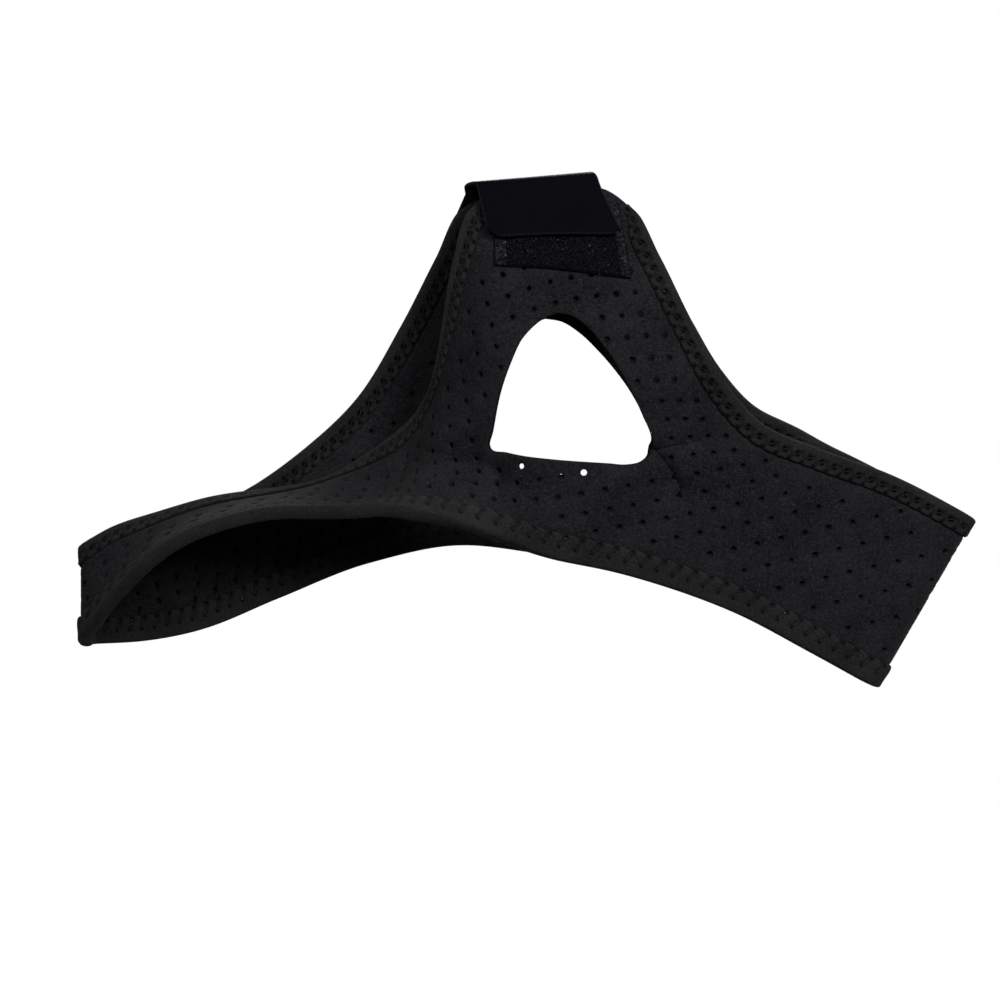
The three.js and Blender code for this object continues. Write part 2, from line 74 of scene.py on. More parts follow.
# Bound outline and ear opening of the flat pattern, as (along, up)
JAW_ROWS = (
    (-190, -171), (-160, -168), (-130, -162), (-100, -152), (-62, -138), (-25, -131), (4, -135),
    (36, -143.5), (69, -156), (96, -170.5), (126.8, -188.3),
)
RIM_ROWS = (
    (-190, -134), (-165, -130), (-135, -121), (-108, -110), (-88, -97), (-66, -77), (-50, -51),
    (-38, -26), (-29, -7.5), (-22, -2.5), (0, -0.8), (22, -0.8), (30, -7), (40.3, -26.7), (50.5, -49),
    (62, -70.3), (76.3, -86), (98, -95.5), (124, -105), (162.7, -124.8),
)
EAR_ROWS = (
    (2.4, -47.6), (-2.2, -49.3), (-9.2, -54.6), (-16, -65.8), (-20.8, -77.6), (-23.4, -89.8),
    (-24.5, -95.8), (-24.0, -96.7), (-18, -97.3), (-2.2, -98.6), (20.8, -100.4), (27, -100.9),
    (32.4, -99.8), (35.4, -97.4), (36.4, -93.5), (32.6, -83.6), (23.8, -66.4), (18.2, -58.3),
    (12.8, -52.2), (7.6, -48.6), (2.4, -47.6),
)

# Where the rim tapes end at the crown, how their press fades there, and below what height all is bound
REAR_TAPE_END = -26.0
FACE_TAPE_END = 29.5
PRESS_FADE = 4.0
BOUND_BELOW = -60.0

# Stations of a worn panel: along, centre, x, y, z, tip in degrees, bend, sway and pull
RIGHT_ROWS = (
    (-190, -152, -176, -5, -152, 0, 0, 0, 1),
    (-165, -150, -155, -13, -137, 48, 0, 0.1, 1),
    (-140, -143, -131, -18, -123.5, 70, 0, 0.25, 1),
    (-108, -133, -93, -20, -114, 78, 0, 0.47, 1),
    (-73, -110, -56.5, -17, -107, 47, 0.82, 0.31, 1),
    (-45, -90, -37.5, -22, -87.5, 20, 0.35, 0.12, 0.9),
    (-20, -85, -18, -33, -85, 4, 0.25, 0, 0.95),
    (0, -85, 0, -37, -85, 0, 0.05, 0, 1),
    (25, -85, 25, -36, -85, -3, 0, 0, 1),
    (60, -105, 59.5, -29, -105, -4, 0, 0, 1),
    (110, -135, 109.5, -16, -135, 0, 0, 0, 1),
    (128, -141, 128, -12, -141, 0, 0, 0, 1),
    (165, -150, 165, -10, -150, 0, 0, 0, 1),
)
LEFT_ROWS = (
    (-190, -152, -176, 5, -152, 0, 0, 0, 1),
    (-140, -143, -136, 9, -144.5, 0, 0, 0, 1.06),
    (-100, -131, -102, 12, -132, 0, 0, 0, 1.06),
    (-45, -90, -51.2, 15, -91.5, 0, 0, 0, 1.04),
    (0, -85, -4, 17, -86.5, 0, 0, 0, 1.04),
    (36, -95, 42, 17, -95.5, 0, 0, 0, 1.03),
    (60, -105, 64, 15, -103, 0, 0, 0, 1.03),
    (85, -120, 87, 13, -116.5, 0, 0, 0, 1.05),
    (110, -135, 110, 11, -134.5, 0, 0, 0, 1.05),
    (128, -141, 128, 10, -141, 0, 0, 0, 1),
    (165, -150, 165, 10, -150, 0, 0, 0, 1),
)


class Slot(Enum):
    """Material groups of the strap's pieces."""

    FOAM = "foam_panel"
    TAPE = "binding_tape"
    LOOP = "loop_pile"
    HOOK = "hook_tab"


class Leg(Enum):
    """Face of a panel that a tape leg or a seam lies on."""

    OUTER = 1
    INNER = -1


def smooth_step(value: np.ndarray) -> np.ndarray:
    """Eases values from 0 to 1."""
    held = np.clip(value, 0.0, 1.0)
    return held * held * (3.0 - 2.0 * held)


def unit(vectors: np.ndarray) -> np.ndarray:
    """Rows of an array scaled to length 1."""
    return vectors / np.maximum(np.linalg.norm(vectors, axis=1, keepdims=True), 1e-12)


def distance_to_line(flat: np.ndarray, line: np.ndarray) -> np.ndarray:
    """Distance from pattern points to a broken line.

    Args:
        flat: Points as rows of (along, up).
        line: Corners of the line as rows of (along, up).

    Returns:
        One distance for each point.
    """
    nearest = np.full(len(flat), np.inf)
    for start, end in zip(line[:-1], line[1:]):
        run = end - start
        share = np.clip((flat - start) @ run / (run @ run), 0.0, 1.0)
        nearest = np.minimum(nearest, np.linalg.norm(flat - start - share[:, None] * run, axis=1))
    return nearest


class SmoothTable:
    """Table whose columns are read smoothly between its rows."""

    def __init__(self, keys: Sequence[float], values: Sequence[Sequence[float]]) -> None:
        """Stores the rows and the slope of each column at each row.

        Args:
            keys: Rising keys of the rows.
            values: Values of each row.
        """
        self.keys = np.asarray(keys, float)
        self.values = np.asarray(values, float)
        steps = np.diff(self.keys)[:, None]
        rises = np.diff(self.values, axis=0) / steps
        middle = (steps[1:] * rises[:-1] + steps[:-1] * rises[1:]) / (steps[1:] + steps[:-1])
        self.slopes = np.vstack([rises[:1], middle, rises[-1:]])

    def at(self, places: np.ndarray) -> np.ndarray:
        """Reads the table.

        Args:
            places: Keys to read at.

        Returns:
            One row of values for each key.
        """
        held = np.clip(places, self.keys[0], self.keys[-1])
        row = np.clip(np.searchsorted(self.keys, held, side="right") - 1, 0, len(self.keys) - 2)
        span = (self.keys[row + 1] - self.keys[row])[:, None]
        t = (held - self.keys[row])[:, None] / span
        level = self.values[row] * (1 + 2 * t) * (1 - t) ** 2 + self.values[row + 1] * t**2 * (3 - 2 * t)
        return level + (self.slopes[row] * t * (1 - t) ** 2 + self.slopes[row + 1] * t**2 * (t - 1)) * span


class Edge:
    """Smooth edge of the pattern, read by its length from the first row."""

    TANGENT_STEP = 0.5
    LOOK_UP_STEP = 0.5

    def __init__(self, rows: Sequence[Sequence[float]]) -> None:
        """Lays the edge through its rows.

        Args:
            rows: Points of the edge as (along, up).
        """
        points = np.asarray(rows, float)
        runs = np.concatenate([[0.0], np.cumsum(np.linalg.norm(np.diff(points, axis=0), axis=1))])
        self.length = float(runs[-1])
        self.table = SmoothTable(runs, points)

    def points(self, runs: np.ndarray) -> np.ndarray:
        """Pattern points at lengths along the edge."""
        return self.table.at(runs)

    def insets(self, runs: np.ndarray, distance: float | np.ndarray) -> np.ndarray:
        """Points that lie off the edge, square to it on the left of its run.

        Args:
            runs: Lengths along the edge.
            distance: How far off the edge they lie.

        Returns:
            Pattern points.
        """
        step = self.TANGENT_STEP
        tangent = unit(self.points(runs + step) - self.points(runs - step))
        left = np.stack([-tangent[:, 1], tangent[:, 0]], axis=1)
        return self.points(runs) + left * np.reshape(distance, (-1, 1))

    def run_at(self, along: float) -> float:
        """Length along the edge where it reaches a place along the pattern."""
        runs = np.arange(0.0, self.length, self.LOOK_UP_STEP)
        return float(np.interp(along, self.points(runs)[:, 0], runs))


@dataclass(frozen=True)
class Turn:
    """Quarter circle through which a panel's end turns to the seam with the other panel."""

    along: float
    up: float
    radius: float
    heading: float

    @property
    def axis(self) -> np.ndarray:
        """Unit direction in which the turn leaves the panel."""
        angle = math.radians(self.heading)
        return np.array([math.cos(angle), math.sin(angle)])

    def left_to_seam(self, flat: np.ndarray) -> np.ndarray:
        """Length of pattern between points and the seam."""
        return (np.array([self.along, self.up]) - flat) @ self.axis

    def trimmed(self, flat: np.ndarray) -> np.ndarray:
        """Points drawn back to half a clearance short of the seam."""
        past = np.maximum(SEAM_GAP / 2 - self.left_to_seam(flat), 0.0)
        return flat - past[:, None] * self.axis


NAPE_TURN = Turn(-190.0, -150.0, 5.0, 180.0)
CHIN_TURN = Turn(162.7, -124.8, 10.0, -29.5)
TURNS = (NAPE_TURN, CHIN_TURN)


@dataclass(frozen=True)
class Fold:
    """Crease that dents a panel inwards along a line of the pattern."""

    line: tuple[tuple[float, float], ...]
    depth: float
    width: float

    def dent(self, flat: np.ndarray) -> np.ndarray:
        """Depth of the crease at pattern points."""
        return self.depth * np.exp(-((distance_to_line(flat, np.array(self.line)) / self.width) ** 2))


SOFT_FOLDS = (
    Fold(((-64, -106), (-42, -106), (-23, -106)), 5.0, 9.0),
    Fold(((37, -97), (46.5, -110)), 2.2, 4.0),
    Fold(((38, -95), (53, -92)), 1.2, 3.5),
    Fold(((-20, -106), (-22, -117)), 1.5, 5.0),
)
SHARP_FOLDS = (
    Fold(((36.5, -95), (41.5, -99.8), (45.8, -106.3), (47, -109.3), (44, -113.5)), 1.5, 1.3),
    Fold(((37.5, -95.2), (46.7, -94), (53.8, -92.5)), 0.7, 1.2),
    Fold(((-19.3, -107), (-20.3, -112), (-20, -116)), 0.8, 1.5),
    Fold(((16, -107.3), (27.3, -113.5)), -0.25, 1.0),
)


@dataclass(frozen=True)
class WornSide:
    """One panel of the pattern as it is worn, on the wearer's right or left."""

    stations: SmoothTable
    outward: int
    crown_shift: float = 0.0
    ear_drop: float = 0.0
    ear_stretch: float = 1.0
    folds: tuple[Fold, ...] = ()
    NORMAL_STEP = 0.05

    def points(self, flat: np.ndarray) -> np.ndarray:
        """Places of pattern points on the panel's middle surface.

        Args:
            flat: Points as rows of (along, up).

        Returns:
            Rows of (x, y, z) in millimetres.
        """
        centre, x, y, z, tip, bend, sway, pull = self.stations.at(flat[:, 0]).T
        rise = flat[:, 1] - centre
        lean = np.radians(tip - bend * rise)
        free = smooth_step((CROWN_TOP - flat[:, 1]) / CROWN_LEAN_DEPTH)[:, None]
        level = np.full(len(flat), -self.outward * CROWN_HALF_GAP)
        crown = np.stack([flat[:, 0] + self.crown_shift, level, flat[:, 1]], axis=1)
        standing = np.stack(
            [x + sway * rise, y + np.sin(lean) * rise, z + np.cos(lean) * rise * pull], axis=1
        )
        placed = crown + (standing - crown) * free
        for fold in self.folds:
            placed[:, 1] += self.outward * fold.dent(flat)
        for turn in TURNS:
            quarter = math.pi / 2
            angle = np.clip(quarter - turn.left_to_seam(flat) / turn.radius, 0.0, quarter)
            drawn = turn.radius * (np.sin(angle) - angle)
            placed[:, 0] += drawn * turn.axis[0]
            placed[:, 2] += drawn * turn.axis[1]
            placed[:, 1] *= np.cos(angle)
        return placed

    def normals(self, flat: np.ndarray) -> np.ndarray:
        """Outward unit normals.

        Args:
            flat: Points as rows of (along, up).

        Returns:
            One normal for each point.
        """
        along = np.array([self.NORMAL_STEP, 0.0])
        up = along[::-1]
        run = self.points(flat + along) - self.points(flat - along)
        rise = self.points(flat + up) - self.points(flat - up)
        return unit(np.cross(run, rise)) * self.outward

    def stand_off(self, flat: np.ndarray, height: float | np.ndarray) -> np.ndarray:
        """Points off the middle surface, flush with the seam where the panel ends.

        Args:
            flat: Points as rows of (along, up).
            height: Distance outwards from the middle surface.

        Returns:
            Rows of (x, y, z) in millimetres.
        """
        placed = self.points(flat) + self.normals(flat) * np.reshape(height, (-1, 1))
        for turn in TURNS:
            placed[turn.left_to_seam(flat) < GAP, 1] = -self.outward * SEAM_GAP / 2
        return placed


def station_table(rows: Sequence[Sequence[float]]) -> SmoothTable:
    """Smooth table of a panel's stations."""
    return SmoothTable([row[0] for row in rows], [row[1:] for row in rows])


RIGHT = WornSide(station_table(RIGHT_ROWS), 1, folds=SOFT_FOLDS + SHARP_FOLDS)
LEFT = WornSide(station_table(LEFT_ROWS), -1, crown_shift=-3.0, ear_drop=0.5, ear_stretch=1.11)
JAW_EDGE = Edge(JAW_ROWS)
RIM_EDGE = Edge(RIM_ROWS)
EAR_EDGE = Edge(EAR_ROWS)


class TreeMaker:
    """Adds nodes to one tree and links them."""

    def __init__(self, tree: bpy.types.NodeTree) -> None:
        """Keeps the tree that nodes are added to."""
        self.tree = tree

    def socket(self, name: str, kind: str, default: object = None, out: bool = False) -> None:
        """Adds a named input or output to the tree's interface.

        Args:
            name: Name of the socket.
            kind: Socket type without its NodeSocket prefix.
            default: Default value of an input.
            out: Whether the socket is an output.
        """
        made = self.tree.interface.new_socket(
            name, in_out="OUTPUT" if out else "INPUT", socket_type="NodeSocket" + kind
        )
        if default is not None:
            made.default_value = default

    def add(self, kind: str, inputs: dict | None = None, **settings: object) -> bpy.types.Node:
        """Adds a node.

        Args:
            kind: Node type.
            inputs: Values or output sockets for its inputs, by name or number.
            **settings: Properties of the node.

        Returns:
            The node.
        """
        node = self.tree.nodes.new(kind)
        for name, value in settings.items():
            setattr(node, name, value)
        for key, value in (inputs or {}).items():
            if isinstance(value, bpy.types.NodeSocket):
                self.tree.links.new(value, node.inputs[key])
            else:
                node.inputs[key].default_value = value
        return node

    def math(self, operation: str, *values: object) -> bpy.types.NodeSocket:
        """Result of a Math node on sockets or numbers."""
        return self.add("ShaderNodeMath", dict(enumerate(values)), operation=operation).outputs[0]

    def vector(self, operation: str, *values: object) -> bpy.types.NodeSocket:
        """Vector result of a Vector Math node on sockets or vectors."""
        return self.add("ShaderNodeVectorMath", dict(enumerate(values)), operation=operation).outputs[0]

    def attribute(self, name: str, kind: str) -> bpy.types.NodeSocket:
        """Value of a named attribute of the geometry."""
        return self.add("GeometryNodeInputNamedAttribute", {0: name}, data_type=kind).outputs[0]

    def circle(self, corners: int, radius: object) -> bpy.types.Node:
        """Node of a closed curve with that many corners."""
        sizes = {"Resolution": corners, "Radius": radius}
        return self.add("GeometryNodeCurvePrimitiveCircle", sizes)

    def noise(self, place: object, scale: object, detail: float) -> bpy.types.NodeSocket:
        """Height of a noise texture."""
        return self.add("ShaderNodeTexNoise", {"Vector": place, "Scale": scale, "Detail": detail}).outputs[0]

    def scaled(self, vector: object, factor: object) -> bpy.types.NodeSocket:
        """A vector times a number."""
        node = self.add("ShaderNodeVectorMath", {0: vector, "Scale": factor}, operation="SCALE")
        return node.outputs[0]


class GrowTree:
    """Geometry Nodes tree that is run once over a host mesh and leaves a plain mesh."""

    def __init__(self, name: str, sizes: dict[str, tuple[str, object]]) -> None:
        """Starts a tree with a geometry input, named sizes and a material.

        Args:
            name: Name of the tree.
            sizes: Socket type and default of each named size.
        """
        self.tree = bpy.data.node_groups.new(name, "GeometryNodeTree")
        self.make = TreeMaker(self.tree)
        self.make.socket("Geometry", "Geometry", out=True)
        self.make.socket("Geometry", "Geometry")
        for label, (kind, default) in sizes.items():
            self.make.socket(label, kind, default)
        self.make.socket("Material", "Material")
        self.inputs = self.make.add("NodeGroupInput").outputs

    def end(self, geometry: bpy.types.NodeSocket) -> None:
        """Ends the tree in Realize Instances and Set Material.

        Args:
            geometry: Output of the tree's last own node.
        """
        real = self.make.add("GeometryNodeRealizeInstances", {0: geometry})
        painted = self.make.add(
            "GeometryNodeSetMaterial", {0: real.outputs[0], "Material": self.inputs["Material"]}
        )
        self.make.add("NodeGroupOutput", {0: painted.outputs[0]})

    def grow(self, host: bpy.types.Mesh, sizes: dict[str, object]) -> bpy.types.Mesh:
        """Runs the tree over a host mesh.

        Args:
            host: Mesh that the tree starts from, which is used up.
            sizes: Values of the tree's named inputs.

        Returns:
            A plain mesh.
        """
        carrier = bpy.data.objects.new(self.tree.name, host)
        bpy.context.scene.collection.objects.link(carrier)
        modifier = carrier.modifiers.new(self.tree.name, "NODES")
        modifier.node_group = self.tree
        for item in self.tree.interface.items_tree:
            if item.in_out == "INPUT" and item.name in sizes:
                modifier[item.identifier] = sizes[item.name]
        graph = bpy.context.evaluated_depsgraph_get()
        grown = bpy.data.meshes.new_from_object(carrier.evaluated_get(graph))
        carrier.modifiers.clear()
        bpy.data.objects.remove(carrier)
        bpy.data.meshes.remove(host)
        return grown


def mesh_from(name: str, points: np.ndarray, faces: Sequence, edges: Sequence = ()) -> bpy.types.Mesh:
    """Mesh from points in metres.

    Args:
        name: Name of the mesh.
        points: Corner points.
        faces: Faces as tuples of point numbers.
        edges: Loose edges.

    Returns:
        The mesh.
    """
    mesh = bpy.data.meshes.new(name)
    mesh.from_pydata(np.asarray(points, float).tolist(), [tuple(edge) for edge in edges], faces)
    mesh.update()
    return mesh


def show(name: str, mesh: bpy.types.Mesh) -> bpy.types.Object:
    """Puts a finished mesh in the scene, at the origin, with smooth faces.

    Args:
        name: Name of the object and its mesh.
        mesh: Finished mesh.

    Returns:
        The object.
    """
    mesh.shade_smooth()
    mesh.name = name
    shown = bpy.data.objects.new(name, mesh)
    bpy.context.scene.collection.objects.link(shown)
    return shown


def unwrap(mesh: bpy.types.Mesh, flat: np.ndarray) -> None:
    """Gives a mesh its flat pattern, in metres, as a UV map.

    Args:
        mesh: Mesh to unwrap.
        flat: One pattern point in millimetres for each vertex.
    """
    corners = np.empty(len(mesh.loops), np.int32)
    mesh.loops.foreach_get("vertex_index", corners)
    layer = mesh.uv_layers.new(name=PATTERN_UV)
    layer.data.foreach_set("uv", (flat[corners] * MM).astype(np.float32).ravel())


def write_floats(mesh: bpy.types.Mesh, name: str, values: np.ndarray) -> None:
    """Gives a mesh one number for each of its points."""
    layer = mesh.attributes.new(name, "FLOAT", "POINT")
    layer.data.foreach_set("value", np.asarray(values, np.float32).ravel())


def boundary_loops(faces: Iterable[Sequence[int]]) -> list[list[int]]:
    """Closed edges of an open mesh, each run with the mesh on its left.

    Args:
        faces: Faces as tuples of point numbers, counter-clockwise.

    Returns:
        Point numbers of each closed edge.
    """
    sides = {(face[i - 1], face[i]) for face in faces for i in range(len(face))}
    after = {start: end for start, end in sides if (end, start) not in sides}
    loops = []
    while after:
        start, place = after.popitem()
        loop = [start]
        while place != start:
            loop.append(place)
            place = after.pop(place)
        loops.append(loop)
    return loops


@dataclass(frozen=True)
class RimStep:
    """Step of a sheet's finished rim: how far it stands out past the flat cut, and how deep it lies."""

    out: float
    sink: float


@dataclass
class Shell:
    """Closed sheet over a flat cut, with a finished rim round each of its edges."""

    flat: np.ndarray
    faces: list[tuple[int, ...]]
    place: Callable[[np.ndarray, np.ndarray], np.ndarray]
    front: float
    back: float
    rim: Callable[[np.ndarray], tuple[RimStep, ...]]
    turned: bool = False
    core_depth: float = math.inf
    back_flat: np.ndarray | None = None
    sink: np.ndarray | float = 0.0

    def mesh(self, name: str) -> bpy.types.Mesh:
        """Builds the sheet.

        Args:
            name: Name of the mesh.

        Returns:
            A closed mesh whose second material lies on the walls deeper than core_depth.
        """
        count = len(self.flat)
        behind = self.flat if self.back_flat is None else self.back_flat
        flats = [self.flat, behind]
        level = np.zeros(count)
        heights = [level + self.front - self.sink, level + self.back + self.sink]
        faces = [tuple(face) for face in self.faces]
        faces += [tuple(corner + count for corner in reversed(face)) for face in self.faces]
        looks = [0] * len(faces)
        total = 2 * count
        for loop in boundary_loops(self.faces):
            line = self.flat[loop]
            run = np.roll(line, -1, axis=0) - np.roll(line, 1, axis=0)
            void = unit(np.stack([run[:, 1], -run[:, 0]], axis=1))
            steps = self.rim(line)
            rings = [np.array(loop)]
            depths = [0.0]
            levels = [(line, step, self.front - step.sink) for step in steps]
            levels += [(behind[loop], step, self.back + step.sink) for step in reversed(steps)]
            for base, step, height in levels:
                flats.append(base + void * step.out)
                heights.append(np.full(len(loop), height))
                rings.append(np.arange(total, total + len(loop)))
                depths.append(step.sink)
                total += len(loop)
            rings.append(np.array(loop) + count)
            depths.append(0.0)
            for i in range(len(rings) - 1):
                near, far = rings[i], rings[i + 1]
                quads = np.stack([np.roll(near, -1), near, far, np.roll(far, -1)], axis=1)
                faces += [tuple(quad) for quad in quads.tolist()]
                looks += [int(min(depths[i : i + 2]) >= self.core_depth)] * len(loop)
        flat = np.concatenate(flats)
        if self.turned:
            faces = [tuple(reversed(face)) for face in faces]
        mesh = mesh_from(name, self.place(flat, np.concatenate(heights)) * MM, faces)
        mesh.polygons.foreach_set("material_index", looks)
        unwrap(mesh, flat)
        return mesh


def shader_group(
    name: str, sizes: dict[str, float], results: Sequence[str]
) -> tuple[TreeMaker, bpy.types.NodeOutputs]:
    """Starts a shader group that reads a place.

    Args:
        name: Name of the group.
        sizes: Its number inputs with their defaults.
        results: Names of its outputs.

    Returns:
        Maker of the group's tree, and the group's inputs.
    """
    make = TreeMaker(bpy.data.node_groups.new(name, "ShaderNodeTree"))
    make.socket("Vector", "Vector")
    for size, default in sizes.items():
        make.socket(size, "Float", default)
    for result in results:
        make.socket(result, "Float", out=True)
    return make, make.add("NodeGroupInput").outputs


def knit_group() -> bpy.types.NodeTree:
    """Builds knitted loops that lie in staggered courses.

    Returns:
        The shader group.
    """
    make, given = shader_group("Knit", {"Loop Pitch": 0.0008, "Course Ratio": 0.8}, ["Height"])
    parts = make.add("ShaderNodeSeparateXYZ", {0: given["Vector"]}).outputs
    wale = make.math("DIVIDE", parts[0], given["Loop Pitch"])
    course = make.math("DIVIDE", make.math("DIVIDE", parts[1], given["Loop Pitch"]), given["Course Ratio"])
    leg = make.math("PINGPONG", wale, 0.5)
    slant = make.math("ADD", course, make.math("MULTIPLY", leg, 1.3))
    strand = make.math("SINE", make.math("MULTIPLY", slant, 2 * math.pi))
    ridge = make.math("SINE", make.math("MULTIPLY", leg, 2 * math.pi))
    loops = make.math("MULTIPLY_ADD", strand, 0.3, 0.35)
    make.add("NodeGroupOutput", {"Height": make.math("MULTIPLY_ADD", ridge, 0.35, loops)})
    return make.tree


def mottle_group() -> bpy.types.NodeTree:
    """Builds the uneven tone of brushed cloth, from broad patches down to fibres.

    Returns:
        The shader group.
    """
    make, given = shader_group("Mottle", {"Patch Scale": 60.0, "Fibre Scale": 1500.0}, ["Tone", "Fibre"])
    broad = make.noise(given["Vector"], given["Patch Scale"], 3.0)
    fine = make.noise(given["Vector"], given["Fibre Scale"], 2.0)
    mixed = make.math("ADD", make.math("MULTIPLY", broad, 0.35), make.math("MULTIPLY", fine, 0.65))
    clear = make.add("ShaderNodeMapRange", {0: mixed, 1: 0.32, 2: 0.68})
    make.add("NodeGroupOutput", {"Tone": clear.outputs[0], "Fibre": fine})
    return make.tree


def lint_group() -> bpy.types.NodeTree:
    """Builds sparse pale specks of lint and fibre ends.

    Returns:
        The shader group.
    """
    make, given = shader_group("Lint", {"Speck Scale": 900.0, "Share": 0.04}, ["Speck"])
    cells = make.add("ShaderNodeTexVoronoi", {"Vector": given["Vector"], "Scale": given["Speck Scale"]})
    draw = make.add("ShaderNodeSeparateColor", {0: cells.outputs["Color"]}).outputs[0]
    chosen = make.math("LESS_THAN", draw, given["Share"])
    round_spot = make.add("ShaderNodeMapRange", {0: cells.outputs["Distance"], 1: 0.45, 2: 0.15})
    make.add("NodeGroupOutput", {"Speck": make.math("MULTIPLY", chosen, round_spot.outputs[0])})
    return make.tree


class Effects:
    """Shader groups that the finishes share."""

    def __init__(self) -> None:
        """Builds each group once."""
        self.knit = knit_group()
        self.mottle = mottle_group()
        self.lint = lint_group()


@dataclass(frozen=True)
class Finish:
    """Black cloth finish: its tones, its gloss and the scale of its yarns."""

    name: str
    dark: tuple[float, float, float]
    light: tuple[float, float, float]
    roughness: float
    sheen: float
    loop_pitch: float
    course_ratio: float
    yarn_depth: float
    fibre_scale: float
    lint_share: float
    speck: tuple[float, float, float] = (0.09, 0.09, 0.095)
    speck_scale: float = 900.0
    patterned: bool = True
    pale_line_edge: float = 0.0
    gloss: float = 0.12
    ior: float = 1.1
    # Whether painted shade darkens the colour where the stitches press dents into the cloth
    painted_dent_shade: bool = False
    # Shares that every finish has, among them the painted shade in stitch dents, and edge lines as widths in
    # metres and a strength
    SHEEN_ROUGHNESS: ClassVar[float] = 0.45
    YARN_TONE: ClassVar[float] = 0.35
    MOTTLE_TONE: ClassVar[float] = 0.75
    ROUGH_SPREAD: ClassVar[float] = 0.16
    FIBRE_HEIGHT: ClassVar[float] = 0.8
    BUMP_STRENGTH: ClassVar[float] = 0.7
    PAINTED_DENT_SHADE: ClassVar[float] = 0.2
    SIDE_LINE: ClassVar[tuple[float, float]] = (0.0007, 0.9)
    HEM_LINE: ClassVar[tuple[float, float, float]] = (0.0001, 0.0008, 0.25)

    def material(self, effects: Effects) -> bpy.types.Material:
        """Builds the finish.

        Args:
            effects: Shared shader groups.

        Returns:
            A material that reads the pattern's UV map, or Object coordinates where there is none.
        """
        material = bpy.data.materials.new(self.name)
        material.use_nodes = True
        make = TreeMaker(material.node_tree)
        shader = material.node_tree.nodes["Principled BSDF"]
        shader.inputs["Sheen Weight"].default_value = self.sheen
        shader.inputs["Sheen Roughness"].default_value = self.SHEEN_ROUGHNESS
        shader.inputs["Specular IOR Level"].default_value = self.gloss
        shader.inputs["IOR"].default_value = self.ior
        solid = make.add("ShaderNodeTexCoord").outputs["Object"]
        place = make.add("ShaderNodeUVMap", uv_map=PATTERN_UV).outputs[0] if self.patterned else solid
        brushed = {"Vector": solid, "Fibre Scale": self.fibre_scale}
        mottle = make.add("ShaderNodeGroup", brushed, node_tree=effects.mottle)
        loops = {"Vector": place, "Loop Pitch": self.loop_pitch * MM, "Course Ratio": self.course_ratio}
        knit = make.add("ShaderNodeGroup", loops, node_tree=effects.knit)
        specks = {"Vector": solid, "Speck Scale": self.speck_scale, "Share": self.lint_share}
        lint = make.add("ShaderNodeGroup", specks, node_tree=effects.lint)
        yarn = knit.outputs["Height"]
        uneven = make.math("MULTIPLY", mottle.outputs["Tone"], self.MOTTLE_TONE)
        tone = make.math("MULTIPLY_ADD", yarn, self.YARN_TONE, uneven)
        cloth = self.mixed(make, tone, (*self.dark, 1.0), (*self.light, 1.0))
        # A paler line along the hem and both long edges of a strip
        if self.pale_line_edge:
            cloth = self.mixed(make, self.edge_mask(make, place), cloth, (*self.speck, 1.0))
        colour = self.mixed(make, lint.outputs["Speck"], cloth, (*self.speck, 1.0))
        # Painted shade: the colour darkens towards a fraction of the dark tone where the stitches dent the
        # cloth
        if self.painted_dent_shade:
            dent = make.add("ShaderNodeAttribute", attribute_name=DENT).outputs["Fac"]
            colour = self.mixed(make, dent, colour, (*(self.PAINTED_DENT_SHADE * part for part in self.dark), 1.0))
        make.tree.links.new(colour, shader.inputs["Base Color"])
        least = self.roughness - self.ROUGH_SPREAD / 2
        rough = make.math("MULTIPLY_ADD", mottle.outputs["Fibre"], self.ROUGH_SPREAD, least)
        make.tree.links.new(rough, shader.inputs["Roughness"])
        height = make.math("MULTIPLY_ADD", mottle.outputs["Fibre"], self.FIBRE_HEIGHT, yarn)
        bump = make.add(
            "ShaderNodeBump",
            {"Strength": self.BUMP_STRENGTH, "Distance": self.yarn_depth * MM, "Height": height},
        )
        make.tree.links.new(bump.outputs[0], shader.inputs["Normal"])
        return material

    @staticmethod
    def mixed(make: TreeMaker, share: object, low: object, high: object) -> bpy.types.NodeSocket:
        """Colour between two colours."""
        node = make.add("ShaderNodeMix", {0: share, 6: low, 7: high}, data_type="RGBA")
        return node.outputs[2]

    def edge_mask(self, make: TreeMaker, place: bpy.types.NodeSocket) -> bpy.types.NodeSocket:
        """Mask of the thin paler line along the hem and both long edges of a strip.

        Args:
            make: Maker of the material's tree.
            place: Pattern place, across from the strip's middle and along from its hem.

        Returns:
            The mask.
        """
        parts = make.add("ShaderNodeSeparateXYZ", {0: place}).outputs
        across = make.math("ABSOLUTE", parts[0])
        edge = self.pale_line_edge * MM
        width, share = self.SIDE_LINE
        sides = make.add("ShaderNodeMapRange", {0: across, 1: edge - width, 2: edge, 4: share}).outputs[0]
        full, none, share = self.HEM_LINE
        hem = make.add("ShaderNodeMapRange", {0: parts[1], 1: none, 2: full, 4: share}).outputs[0]
        return make.math("MAXIMUM", sides, hem)


FOAM_CLOTH = Finish(
    "foam_cloth", dark=(0.0008, 0.0008, 0.0011), light=(0.0116, 0.0114, 0.0130), roughness=0.92, sheen=0.02,
    loop_pitch=0.8, course_ratio=0.8, yarn_depth=0.16, fibre_scale=1050.0,
    lint_share=0.07, speck=(0.026, 0.026, 0.029), speck_scale=1700.0,
)
FOAM_CORE = Finish(
    "foam_core", dark=(0.0025, 0.0025, 0.0027), light=(0.009, 0.009, 0.0095), roughness=0.95, sheen=0.0,
    loop_pitch=0.5, course_ratio=1.0, yarn_depth=0.2, fibre_scale=2200.0, lint_share=0.0, gloss=0.05,
)
# Binding tape, with painted shade in its stitch dents
TAPE_KNIT = Finish(
    "tape_knit", dark=(0.0020, 0.0019, 0.0022), light=(0.0168, 0.0165, 0.0175), roughness=0.9, sheen=0.02,
    loop_pitch=0.8, course_ratio=0.55, yarn_depth=0.45, fibre_scale=1500.0,
    lint_share=0.05, speck=(0.025, 0.024, 0.025), speck_scale=2600.0, painted_dent_shade=True,
)
